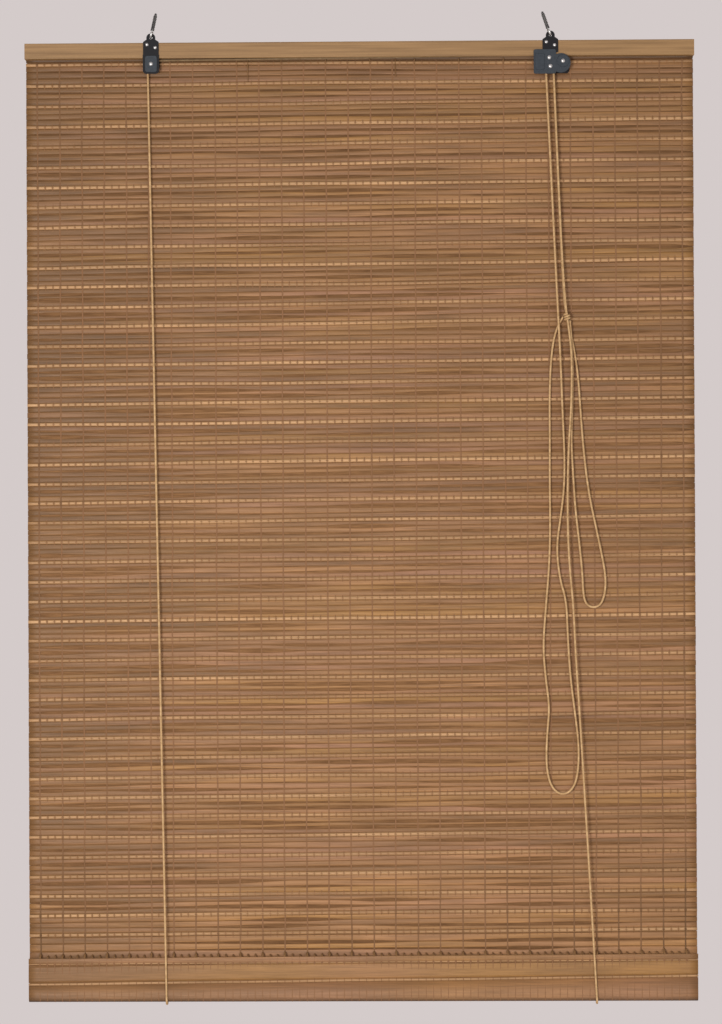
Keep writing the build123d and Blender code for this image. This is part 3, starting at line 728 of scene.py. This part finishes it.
# top, foot and depth in the mat and in the front of the hem
webRows = np.array(
    [
        (mat["batten"], hem["fold"], mat["depth"]),
        (hem["top"] - tie["belowTop"], hem["fold"], hem["front"]),
    ]
)
webSection = np.array([(-1, 0), (1, 0), (1, 1), (-1, 1)]) * (tie["halfThick"], 1)
webFall = (webRows[:, 1] - webRows[:, 0])[:, None, None] * webSection[:, 1]
webPoints = np.empty((len(webRows), tie["rings"], len(webSection), 3))
webPoints[..., 0] = (np.linspace(-1, 1, tie["rings"]) * (mat["half"] - tie["inset"]))[None, :, None]
webPoints[..., 1] = -(webRows[:, 2][:, None, None] + webSection[:, 0]) * mm
webPoints[..., 2] = (webRows[:, 0][:, None, None] + webFall) * mm
tieWebPaintedShade = makeTubes("tieWebPaintedShade", webPoints)

# Warps: a thread every 10 mm, every third one heavier, in front of the slats and behind them

warp = {
    "edge": 16.0,
    "heavy": 30,
    "thick": 0.14,
    "grip": 0.7,  # how far above and below a reed the thread leaves the slats
    "besideReed": 0.8,
    "overReed": 0.35,
    "reedRoom": 1.08,
    "belowBatten": 0.1,
    "tuck": 2,
    "sway": 1.1,
    "hue": 0.7,
    "level": 0.78,
    "paleOnReed": 0.3,
    "sideStain": 0.5,  # stained more towards the sides, the foot and the head
    "sideFrom": 0.6,
    "footStain": 0.45,
    "footFrom": 1040,
    "footRun": 150,
    "headStain": 0.2,
    "headTo": 230,
    "headRun": 200,
    "stainStray": 0.6,
}
heavyAt = np.linspace(-mat["panelHalf"] + warp["edge"], mat["panelHalf"] - warp["edge"], warp["heavy"])
spacing = heavyAt[1] - heavyAt[0]
fineAt = np.sort(np.concatenate([heavyAt[:-1] + spacing / 3, heavyAt[:-1] + spacing * 2 / 3]))
allAt = np.sort(np.concatenate([fineAt, heavyAt]))
slatLike = mix(golden, rosy, np.array(warp["hue"])) * warp["level"]
fineTone = linear("#805A32")
heavyTone = linear("#644526")
stitchTone = linear("#7C5934")
flatCorner = np.array([(-1, 0), (0, 1), (1, 0), (0, -1)])
# half widths, lift over the middle of the slats, and stain
# the fine warps in front dive between the slats after each reed
fineWarp = {"half": 0.45, "reedHalf": 1.5, "lift": -0.45, "tone": fineTone, "stain": -0.3}
heavyWarp = {"half": 1.0, "reedHalf": 1.7, "lift": 0.7, "tone": heavyTone, "stain": -0.14}
backWarp = {"half": 0.45, "reedHalf": 0.8, "lift": 0.72, "tone": fineTone, "stain": 0.3}


def layWarps(rng, name, places, side, kind):
    # flat threads down the mat: a diamond section over each reed and slat, wider where it grips a reed
    count = len(places)
    line = np.array([np.interp(places, sideways, height) for height in rowLine])
    start = line[:-1]
    fall = line[1:] - start
    grip = mat["reedRadius"] + warp["grip"]
    between = [start + share * fall for share in slot["share"][1:3]]
    height = np.stack([start + grip, start, start - grip, *between], 1)
    height = np.moveaxis(height, 2, 0).reshape(count, -1)
    height = np.minimum(height, mat["batten"] - warp["belowBatten"])
    height = np.column_stack([height, line[-1] - warp["tuck"]])
    crest = warp["overReed"] + mat["reedFlat"] * mat["reedRadius"] * warp["reedRoom"]
    lift = np.array([warp["besideReed"], crest, warp["besideReed"], kind["lift"], kind["lift"]])
    lift = np.append(np.tile(lift, repeats), lift[0])
    half = kind["half"]
    wide = np.append(np.tile([half, kind["reedHalf"], half, half, half], repeats), half)
    sway = warp["sway"] * (wander(rng, count, height.shape[1], knots=30) - 0.5)
    made = np.empty((*height.shape, len(flatCorner), 3))
    made[..., 0] = (places[:, None, None] + sway[..., None] + wide[:, None] * flatCorner[:, 0]) * mm
    made[..., 1] = -(mat["depth"] + side * (lift[:, None] + warp["thick"] * flatCorner[:, 1])) * mm
    made[..., 2] = height[..., None] * mm
    out = (np.abs(places[:, None]) / mat["panelHalf"] - warp["sideFrom"]) / (1 - warp["sideFrom"])
    shade = kind["stain"] + warp["sideStain"] * np.clip(out, 0, 1)
    shade = shade + warp["footStain"] * np.clip((-height - warp["footFrom"]) / warp["footRun"], 0, 1)
    shade = shade + warp["headStain"] * np.clip((height + warp["headTo"]) / warp["headRun"], 0, 1)
    shade = shade + warp["stainStray"] * (wander(rng, count, height.shape[1], knots=26) - 0.5)
    shade = np.clip(shade, 0, 1)[..., None]
    # the thread pulls flat into the reed, so it takes on some of its paleness there
    pale = np.append(np.tile([0, warp["paleOnReed"], 0, 0, 0], repeats), 0)[None, :, None] * (1 - shade)
    plain = slatLike * (1 - pale) + np.array(paleReed[:3]) * pale
    return makeTubes(name, made, plain * (1 - shade) + np.array(kind["tone"][:3]) * shade, soft=False)


fineWarps = layWarps(rng, "fineWarps", fineAt, 1, fineWarp)
heavyWarps = layWarps(rng, "heavyWarps", heavyAt, 1, heavyWarp)
backWarps = layWarps(rng, "backWarps", allAt, -1, backWarp)

# Warps of the hem: down the back, round the fold and up the front
hemWarp = {
    "back": 11.9,  # depths on the slats and on the reeds of each layer
    "backReed": 11.1,
    "front": 23.8,
    "frontReed": 25.0,
    "frontDots": 24.4,
    "besideReed": 3,
    "besideDots": 2,
    "belowTop": 1,
    "foldRadius": 6.05,
    "foldRings": 9,
    "skewReach": 5,  # within this of a reed the thread follows its slope
    "dotsReach": 0.5,
    "stain": 0.5,
    "stainDrop": 0.6,
}
foldTurn = np.linspace(math.pi, 2 * math.pi, hemWarp["foldRings"])
foldRound = np.column_stack([np.cos(foldTurn), np.sin(foldTurn)]) * hemWarp["foldRadius"]
hemPath = np.vstack(
    [
        (hemWarp["back"], hem["top"]),
        (hemWarp["back"], hem["reed"] + hemWarp["besideReed"]),
        (hemWarp["backReed"], hem["reed"]),
        (hemWarp["back"], hem["reed"] - hemWarp["besideReed"]),
        foldRound + (hem["middle"], hem["fold"]),
        (hemWarp["front"], hem["reed"] - hemWarp["besideReed"]),
        (hemWarp["frontReed"], hem["reed"]),
        (hemWarp["front"], hem["reed"] + hemWarp["besideReed"]),
        (hemWarp["front"], hem["dots"] - hemWarp["besideDots"]),
        (hemWarp["frontDots"], hem["dots"]),
        (hemWarp["front"], hem["dots"] + hemWarp["besideDots"]),
        (hemWarp["front"], hem["top"] - hemWarp["belowTop"]),
    ]
)
pathAhead = np.gradient(hemPath, axis=0)
pathAhead /= np.linalg.norm(pathAhead, axis=1, keepdims=True)
pathOut = np.column_stack([pathAhead[:, 1], -pathAhead[:, 0]])
hemSkew = np.where(np.abs(hemPath[:, 1] - hem["reed"]) < hemWarp["skewReach"], hem["reedSkew"], 0.0)
hemSkew = np.where(hemPath[:, 1] > hem["dots"] - hemWarp["skewReach"], hem["topSkew"], hemSkew)
hemWarpPoints = np.empty((len(allAt), len(hemPath), len(flatCorner), 3))
# wider over the thin reed near the top of the hem
overReed = np.abs(hemPath[:, 1:] - hem["dots"]) < hemWarp["dotsReach"]
hemWide = np.where(overReed, fineWarp["reedHalf"], fineWarp["half"])
hemWarpPoints[..., 0] = (allAt[:, None, None] + hemWide * flatCorner[:, 0]) * mm
hemWarpPoints[..., 1] = -(hemPath[:, :1] + pathOut[:, :1] * warp["thick"] * flatCorner[:, 1]) * mm
hemWarpPoints[..., 2] = (hemPath[:, 1:] + pathOut[:, 1:] * warp["thick"] * flatCorner[:, 1]) * mm
hemWarpPoints[..., 2] += (allAt[:, None] * hemSkew[None, :] * mm)[..., None]
hemShade = wander(rng, len(allAt), len(hemPath), knots=6) - hemWarp["stainDrop"]
hemShade = np.clip(hemWarp["stain"] * hemShade, 0, 1)[..., None]
hemTone = slatLike * (1 - hemShade) + np.array(fineTone[:3]) * hemShade
hemWarps = makeTubes("hemWarps", hemWarpPoints, hemTone, soft=False)

# Stitches from the hem's top edge back to the mat
stitch = {
    "wide": (1.8, 1.1),  # at heavy warps and at fine ones
    "tall": (3.0, 1.8),
    "shade": (0.9, 0.6),
    "least": 0.8,
    "stray": 0.4,
    "belowTop": 0.8,
    "forward": 0.9,
    "short": 1.2,
    "thick": 0.5,
    "blunt": 1.02,
    "rings": 5,
}
hexagon = np.arange(6) * math.tau / 6
atHeavy = np.isin(allAt, heavyAt)
stitchWide = np.where(atHeavy, *stitch["wide"])[:, None, None]
stitchTall = np.where(atHeavy, *stitch["tall"])
stitchTall = stitchTall * (stitch["least"] + stitch["stray"] * rng.random(len(allAt)))
stitchRun = np.linspace(-1, 1, stitch["rings"])
stitchTaper = np.sqrt(stitch["blunt"] - stitchRun**2)[None, :, None]
stitchFoot = (hem["top"] - stitch["belowTop"] + hem["topSkew"] * allAt)[:, None, None]
stitchRise = stitchTall[:, None, None] * (1 + stitchRun[None, :, None])
stitchIn = (hem["front"] - mat["depth"] - stitch["short"]) * (0.5 + 0.5 * stitchRun)[None, :, None]
stitchDepth = hem["front"] + stitch["forward"] - stitchIn
stitchPoints = np.empty((len(allAt), stitch["rings"], len(hexagon), 3))
stitchPoints[..., 0] = (allAt[:, None, None] + stitchWide * stitchTaper * np.cos(hexagon)) * mm
stitchPoints[..., 1] = -(stitchDepth + stitch["thick"] * stitchTaper * np.sin(hexagon)) * mm
stitchPoints[..., 2] = (stitchFoot + stitchRise) * mm
stitchShade = np.where(atHeavy, *stitch["shade"])[:, None] + np.zeros((1, stitch["rings"]))
hemStitches = makeTubes("hemStitches", stitchPoints, mix(fineTone, stitchTone, stitchShade))

# Thread tails that hang out below the batten, two of them long
tails = {
    "first": 7,  # from this heavy warp to that one from the right, every second one
    "last": -5,
    "every": 2,
    "drop": (5, 10),
    "longAt": (-149.8, 49.0),
    "longDrop": (30, 24),
    "sway": 1.6,
    "wide": 0.8,
    "thick": 0.5,
    "forward": 2.2,
    "belowBatten": 1.0,
    "shade": 0.7,
    "rings": 7,
}
tailAt = np.concatenate([heavyAt[tails["first"] : tails["last"] : tails["every"]], tails["longAt"]])
tailDrop = rng.uniform(*tails["drop"], len(tailAt) - len(tails["longAt"]))
tailDrop = np.concatenate([tailDrop, tails["longDrop"]])[:, None, None]
tailRun = np.linspace(0, 1, tails["rings"])
tailSway = tails["sway"] * (wander(rng, len(tailAt), tails["rings"], knots=3) - 0.5) * tailRun
tailWide = tails["wide"] * (1 - 0.5 * tailRun)
tailMiddle = tailAt[:, None, None] + tailSway[..., None]
tailPoints = np.empty((len(tailAt), tails["rings"], len(hexagon), 3))
tailPoints[..., 0] = (tailMiddle + tailWide[None, :, None] * np.cos(hexagon)) * mm
tailPoints[..., 1] = -(mat["depth"] + tails["forward"] + tails["thick"] * np.sin(hexagon)) * mm
tailPoints[..., 2] = (mat["batten"] - tails["belowBatten"] - tailDrop * tailRun[None, :, None]) * mm
tailShade = np.full((len(tailAt), tails["rings"]), tails["shade"])
threadTails = makeTubes("threadTails", tailPoints, mix(fineTone, stitchTone, tailShade))

matPieces = [slats, reeds, hemSlats, hemReeds, foldSlat]
threadPieces = [fineWarps, heavyWarps, backWarps, hemWarps, hemStitches, threadTails]
for piece in [*matPieces, *threadPieces, tieWebPaintedShade]:
    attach(piece, "blind")
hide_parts("bamboo_mat")
print("mat woven")

# Screw hooks: an open wire eye and a shank with a coarse wood thread

hook = {
    "eye": 0.0168,  # places and the ring's sizes in metres, the shank's in millimetres
    "depth": 0.025,
    "ring": 0.005,
    "wire": 0.0016,
    "sink": 0.0005,
    "start": 90,  # degrees of the ring where the wire leaves the shank
    "sweep": 290,
    "ringRings": 60,
    "wireCorners": 12,
    "shank": 20,
    "tip": 4,
    "blunt": 0.5,  # share of the radius left at the point
    "thread": 2.2,  # pitch
    "sharp": 3.2,
    "core": 2.1,
    "crest": 2.8,
    "neck": 2.5,  # plain stretch below the thread, and how the thread rises out of it
    "neckRun": 1.5,
    "neckSwell": 0.35,
    "shankRings": 150,
    "shankCorners": 20,
}
hooks = {
    "leftThreadedHook": (-0.2795, 12, "left_screw_hook", "left_hook"),
    "rightThreadedHook": (0.2572, -19, "right_screw_hook", "right_hook"),
}
toRoom = np.array([0.0, -1.0, 0.0])
wireAngle = np.arange(hook["wireCorners"]) * math.tau / hook["wireCorners"]
wireProfile = hook["wire"] * np.column_stack([np.cos(wireAngle), np.sin(wireAngle)])
turn = np.radians(np.linspace(hook["start"], hook["start"] + hook["sweep"], hook["ringRings"]))
# radius of the shank by height and angle: a ridge that climbs once round in each pitch
height = np.linspace(0, hook["shank"] + hook["tip"], hook["shankRings"])
around = np.arange(hook["shankCorners"]) * math.tau / hook["shankCorners"]
phase = (height[:, None] / hook["thread"] - around[None, :] / math.tau) % 1
ridge = np.clip(1 - np.abs(phase - 0.5) * hook["sharp"], 0, 1)
cut = np.clip((height - hook["neck"]) / hook["neckRun"], 0, 1)[:, None]
radius = hook["core"] + (hook["crest"] - hook["core"]) * ridge * cut + hook["neckSwell"] * (1 - cut)
taper = np.clip((hook["shank"] + hook["tip"] - height) / hook["tip"], 0, 1)[:, None]
radius = radius * (hook["blunt"] + (1 - hook["blunt"]) * taper) * mm
eyePieces = []
shankPieces = []
for name, (place, lean, node, body) in hooks.items():
    rise = np.array([math.sin(math.radians(lean)), 0, math.cos(math.radians(lean))])
    toSide = np.array([rise[2], 0, -rise[0]])
    eye = np.array([place, -hook["depth"], hook["eye"]])
    wireLine = eye + rise * hook["ring"]
    wireLine = wireLine + hook["ring"] * (np.outer(np.cos(turn), toRoom) + np.outer(np.sin(turn), rise))
    ringTube = makeTubes(name + "Eye", carry(wireLine, toSide, wireProfile)[None])
    foot = eye + rise * 2 * hook["ring"] - rise * hook["sink"]
    shankPoints = foot + height[:, None, None] * mm * rise
    shankPoints = shankPoints + radius[..., None] * (
        np.cos(around)[None, :, None] * toSide + np.sin(around)[None, :, None] * toRoom
    )
    shankTube = makeTubes(name + "Shank", shankPoints[None])
    for piece in (ringTube, shankTube):
        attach(piece, body)
        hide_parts(node)
    eyePieces.append(ringTube)
    shankPieces.append(shankTube)
print("hooks turned")

# Materials


def dress(pieces, material):
    for piece in pieces:
        piece.data.materials.clear()
        piece.data.materials.append(material)


# stained split bamboo: long fine fibres, satin lacquer that catches a soft shine
bamboo, tree, shader = newMaterial("stainedBamboo")
place = addNode(tree, "ShaderNodeTexCoord")
# fibres 50 mm long and 1.2 mm wide, in drifts 120 mm long and 4 mm wide
fibre = addNode(
    tree,
    "ShaderNodeMapping",
    {"Vector": place.outputs["Object"], "Scale": (1 / 0.05, 1 / 0.002, 1 / 0.0012)},
)
grain = addNode(
    tree,
    "ShaderNodeTexNoise",
    {"Vector": fibre.outputs[0], "Scale": 1.0, "Detail": 4.0, "Roughness": 0.6},
)
streak = addNode(
    tree,
    "ShaderNodeMapping",
    {"Vector": place.outputs["Object"], "Scale": (1 / 0.12, 1 / 0.01, 1 / 0.004)},
)
cloud = addNode(
    tree,
    "ShaderNodeTexNoise",
    {"Vector": streak.outputs[0], "Scale": 1.0, "Detail": 3.0},
)
grainLevel = addNode(
    tree,
    "ShaderNodeMapRange",
    {"Value": grain.outputs[0], "From Min": 0.3, "From Max": 0.7, "To Min": 0.8, "To Max": 1.16},
)
cloudLevel = addNode(
    tree,
    "ShaderNodeMapRange",
    {"Value": cloud.outputs[0], "From Min": 0.3, "From Max": 0.7, "To Min": 0.84, "To Max": 1.12},
)
level = addNode(
    tree,
    "ShaderNodeMath",
    {0: grainLevel.outputs[0], 1: cloudLevel.outputs[0]},
    operation="MULTIPLY",
)
tone = addNode(tree, "ShaderNodeAttribute", attribute_name="tone")
# painted shade: the underside of the fold is darker
height = addNode(tree, "ShaderNodeSeparateXYZ", {0: place.outputs["Object"]})
paintedFoldShade = addNode(
    tree,
    "ShaderNodeMapRange",
    {
        "Value": height.outputs["Z"],
        "From Min": -1.2785,
        "From Max": -1.2725,
        "To Min": 0.35,
        "To Max": 1.0,
    },
)
level = addNode(
    tree,
    "ShaderNodeMath",
    {0: level.outputs[0], 1: paintedFoldShade.outputs[0]},
    operation="MULTIPLY",
)
tinted = addNode(
    tree,
    "ShaderNodeVectorMath",
    {0: tone.outputs["Color"], "Scale": level.outputs[0]},
    operation="SCALE",
)
tree.links.new(tinted.outputs[0], shader.inputs["Base Color"])
gloss = addNode(
    tree,
    "ShaderNodeMapRange",
    {"Value": grain.outputs[0], "From Min": 0.3, "From Max": 0.7, "To Min": 0.68, "To Max": 0.54},
)
tree.links.new(gloss.outputs[0], shader.inputs["Roughness"])
bump = addNode(
    tree,
    "ShaderNodeBump",
    {"Height": grain.outputs[0], "Strength": 0.35, "Distance": 0.0003},
)
tree.links.new(bump.outputs[0], shader.inputs["Normal"])
dress(matPieces, bamboo)

# spun cotton thread: matt, faintly ribbed by its twist
thread, tree, shader = newMaterial("spunCottonThread")
place = addNode(tree, "ShaderNodeTexCoord")
twill = addNode(
    tree,
    "ShaderNodeMapping",
    {"Vector": place.outputs["Object"], "Rotation": (0, math.radians(35), 0)},
)
# real twist is near 0.6 mm, drawn at 1.4 mm so that it shows; a wave has 3.2 bands a unit
twist = addNode(
    tree,
    "ShaderNodeTexWave",
    {"Vector": twill.outputs[0], "Scale": 1 / 0.0014 / 3.2, "Distortion": 1.5},
    bands_direction="Z",
)
ply = addNode(
    tree,
    "ShaderNodeMapRange",
    {"Value": twist.outputs[1], "To Min": 0.85, "To Max": 1.1},
)
tone = addNode(tree, "ShaderNodeAttribute", attribute_name="tone")
tinted = addNode(
    tree,
    "ShaderNodeVectorMath",
    {0: tone.outputs["Color"], "Scale": ply.outputs[0]},
    operation="SCALE",
)
tree.links.new(tinted.outputs[0], shader.inputs["Base Color"])
shader.inputs["Roughness"].default_value = 0.85
bump = addNode(
    tree,
    "ShaderNodeBump",
    {"Height": twist.outputs[1], "Strength": 0.4, "Distance": 0.0002},
)
tree.links.new(bump.outputs[0], shader.inputs["Normal"])
dress(threadPieces, thread)

# tie threads deep between the slats, coloured dark brown as painted shade
tieShadeMaterial, tree, shader = newMaterial("tieThreadPaintedShade")
place = addNode(tree, "ShaderNodeTexCoord")
weft = addNode(
    tree,
    "ShaderNodeMapping",
    {"Vector": place.outputs["Object"], "Scale": (1 / 0.03, 1, 1 / 0.002)},
)
grain = addNode(
    tree,
    "ShaderNodeTexNoise",
    {"Vector": weft.outputs[0], "Scale": 1.0, "Detail": 3.0},
)
stops = ((0.35, "#6A4726"), (0.7, "#87603A"))
ramp = addNode(tree, "ShaderNodeValToRGB", {"Fac": grain.outputs[0]}, stops)
tree.links.new(ramp.outputs[0], shader.inputs["Base Color"])
shader.inputs["Roughness"].default_value = 0.9
dress([tieWebPaintedShade], tieShadeMaterial)

# planed pine with a light brown stain: straight grain, darker growth lines
pine, tree, shader = newMaterial("stainedPine")
place = addNode(tree, "ShaderNodeTexCoord")
board = addNode(
    tree,
    "ShaderNodeMapping",
    {"Vector": place.outputs["Object"], "Scale": (1 / 0.16, 1 / 0.004, 1 / 0.004)},
)
grain = addNode(
    tree,
    "ShaderNodeTexNoise",
    {"Vector": board.outputs[0], "Scale": 1.0, "Detail": 5.0, "Roughness": 0.62},
)
stops = ((0.3, "#775730"), (0.62, "#967247"))
ramp = addNode(tree, "ShaderNodeValToRGB", {"Fac": grain.outputs[0]}, stops)
tree.links.new(ramp.outputs[0], shader.inputs["Base Color"])
shader.inputs["Roughness"].default_value = 0.55
bump = addNode(
    tree,
    "ShaderNodeBump",
    {"Height": grain.outputs[0], "Strength": 0.25, "Distance": 0.0004},
)
tree.links.new(bump.outputs[0], shader.inputs["Normal"])
dress([nodes["head_rail"], nodes["head_batten"], nodes["bottom_bar"]], pine)

# laid cotton cord: pale tan and matt, its tone drifting along it
twine, tree, shader = newMaterial("laidCottonCord")
run = addNode(tree, "ShaderNodeAttribute", attribute_name="along")
fuzz = addNode(
    tree,
    "ShaderNodeTexNoise",
    {"Vector": run.outputs["Vector"], "Scale": 1 / 0.012, "Detail": 3.0},
)
stops = ((0.35, "#AC885C"), (0.68, "#C9A577"))
ramp = addNode(tree, "ShaderNodeValToRGB", {"Fac": fuzz.outputs[0]}, stops)
# painted shade: the run below the batten, from pulley to lock, is darkened as if in the batten's shadow
place = addNode(tree, "ShaderNodeTexCoord")
height = addNode(tree, "ShaderNodeSeparateXYZ", {0: place.outputs["Object"]})
paintedBattenShade = addNode(
    tree,
    "ShaderNodeMapRange",
    {
        "Value": height.outputs["Z"],
        "From Min": -0.021,
        "From Max": -0.0175,
        "To Min": 1.0,
        "To Max": 0.36,
    },
)
# the painted shade ends below the rail's notches, so the knots and the cord there keep their full tone
unshadedAtRail = addNode(
    tree,
    "ShaderNodeMapRange",
    {
        "Value": height.outputs["Z"],
        "From Min": -0.009,
        "From Max": -0.005,
        "To Min": 0.36,
        "To Max": 1.0,
    },
)
tone = addNode(
    tree,
    "ShaderNodeMath",
    {0: paintedBattenShade.outputs[0], 1: unshadedAtRail.outputs[0]},
    operation="MAXIMUM",
)
tinted = addNode(
    tree,
    "ShaderNodeVectorMath",
    {0: ramp.outputs[0], "Scale": tone.outputs[0]},
    operation="SCALE",
)
tree.links.new(tinted.outputs[0], shader.inputs["Base Color"])
shader.inputs["Roughness"].default_value = 0.85
dress(cordPieces, twine)

# pressed sheet steel, stoved black: satin, worn to grey on the raised covers
steel, tree, shader = newMaterial("stovedBlackSteel")
place = addNode(tree, "ShaderNodeTexCoord")
height = addNode(tree, "ShaderNodeSeparateXYZ", {0: place.outputs["Object"]})
cover = addNode(
    tree,
    "ShaderNodeMapRange",
    {
        "Value": height.outputs["Y"],
        "From Min": -0.0257,
        "From Max": -0.0261,
        "To Min": 0.0,
        "To Max": 1.0,
    },
)
speck = addNode(
    tree,
    "ShaderNodeTexNoise",
    {"Vector": place.outputs["Object"], "Scale": 1 / 0.003, "Detail": 4.0},
)
shade = addNode(
    tree,
    "ShaderNodeMix",
    {0: cover.outputs[0], 6: linear("#131216"), 7: linear("#34393F")},
    data_type="RGBA",
)
speckLevel = addNode(
    tree,
    "ShaderNodeMapRange",
    {"Value": speck.outputs[0], "From Min": 0.3, "From Max": 0.7, "To Min": 0.85, "To Max": 1.15},
)
tinted = addNode(
    tree,
    "ShaderNodeVectorMath",
    {0: shade.outputs[2], "Scale": speckLevel.outputs[0]},
    operation="SCALE",
)
tree.links.new(tinted.outputs[0], shader.inputs["Base Color"])
shader.inputs["Roughness"].default_value = 0.5
shader.inputs["Specular IOR Level"].default_value = 0.2
bump = addNode(
    tree,
    "ShaderNodeBump",
    {"Height": speck.outputs[0], "Strength": 0.12, "Distance": 0.0002},
)
tree.links.new(bump.outputs[0], shader.inputs["Normal"])
dress([nodes[k] for k in ("left_pulley_bracket", "lock_front_plate", "lock_back_plate")], steel)

# zinc plated wire and rivets: bright, slightly clouded
zinc, tree, shader = newMaterial("zincPlatedSteel")
place = addNode(tree, "ShaderNodeTexCoord")
bloom = addNode(
    tree,
    "ShaderNodeTexNoise",
    {"Vector": place.outputs["Object"], "Scale": 1 / 0.004, "Detail": 4.0},
)
stops = ((0.3, "#A9A9A8"), (0.7, "#D9D9D6"))
ramp = addNode(tree, "ShaderNodeValToRGB", {"Fac": bloom.outputs[0]}, stops)
tree.links.new(ramp.outputs[0], shader.inputs["Base Color"])
shader.inputs["Metallic"].default_value = 1.0
gloss = addNode(
    tree,
    "ShaderNodeMapRange",
    {"Value": bloom.outputs[0], "From Min": 0.3, "From Max": 0.7, "To Min": 0.42, "To Max": 0.28},
)
tree.links.new(gloss.outputs[0], shader.inputs["Roughness"])
zincNodes = (
    "left_pulley_rivet",
    "lock_axle_rivet",
    "lock_cam_rivet",
    "lock_guide_pin",
    "left_bracket_screws",
    "lock_screws",
    "rail_brads",
    "lock_cam",
)
dress([*eyePieces, *[nodes[k] for k in zincNodes]], zinc)

# darker steel of the driven screw threads
darkShankSteel, tree, shader = newMaterial("darkScrewSteel")
place = addNode(tree, "ShaderNodeTexCoord")
shankMottle = addNode(
    tree,
    "ShaderNodeTexNoise",
    {"Vector": place.outputs["Object"], "Scale": 1 / 0.006, "Detail": 4.0},
)
stops = ((0.35, "#4C4B4B"), (0.7, "#716F6D"))
ramp = addNode(tree, "ShaderNodeValToRGB", {"Fac": shankMottle.outputs[0]}, stops)
tree.links.new(ramp.outputs[0], shader.inputs["Base Color"])
shader.inputs["Metallic"].default_value = 1.0
shader.inputs["Roughness"].default_value = 0.5
dress(shankPieces, darkShankSteel)

# moulded nylon wheels: off white, soft sheen
nylon, tree, shader = newMaterial("mouldedNylon")
place = addNode(tree, "ShaderNodeTexCoord")
bloom = addNode(
    tree,
    "ShaderNodeTexNoise",
    {"Vector": place.outputs["Object"], "Scale": 1 / 0.005, "Detail": 2.0},
)
stops = ((0.0, "#CFC8B8"), (1.0, "#E2DCCC"))
ramp = addNode(tree, "ShaderNodeValToRGB", {"Fac": bloom.outputs[0]}, stops)
tree.links.new(ramp.outputs[0], shader.inputs["Base Color"])
shader.inputs["Roughness"].default_value = 0.45
dress([nodes[k] for k in ("left_pulley", "lock_front_sheave", "lock_rear_sheave")], nylon)
print("materials ready")

# Floor, well below the hem and clear of the front view
floorAt = {"half": 3, "front": -3.4, "back": 1.5, "height": -2.1}
floorCorners = [
    (side * floorAt["half"], floorAt[end], floorAt["height"])
    for side, end in ((-1, "front"), (1, "front"), (1, "back"), (-1, "back"))
]
floorMesh = bpy.data.meshes.new("paleFloor")
floorMesh.from_pydata(floorCorners, [], [(0, 1, 2, 3)])
floor = bpy.data.objects.new("paleFloor", floorMesh)
bpy.context.collection.objects.link(floor)
floor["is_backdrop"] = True
paint, tree, shader = newMaterial("palePaint")
shader.inputs["Base Color"].default_value = linear("#DCD5D3")
shader.inputs["Roughness"].default_value = 0.9
dress([floor], paint)

low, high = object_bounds()
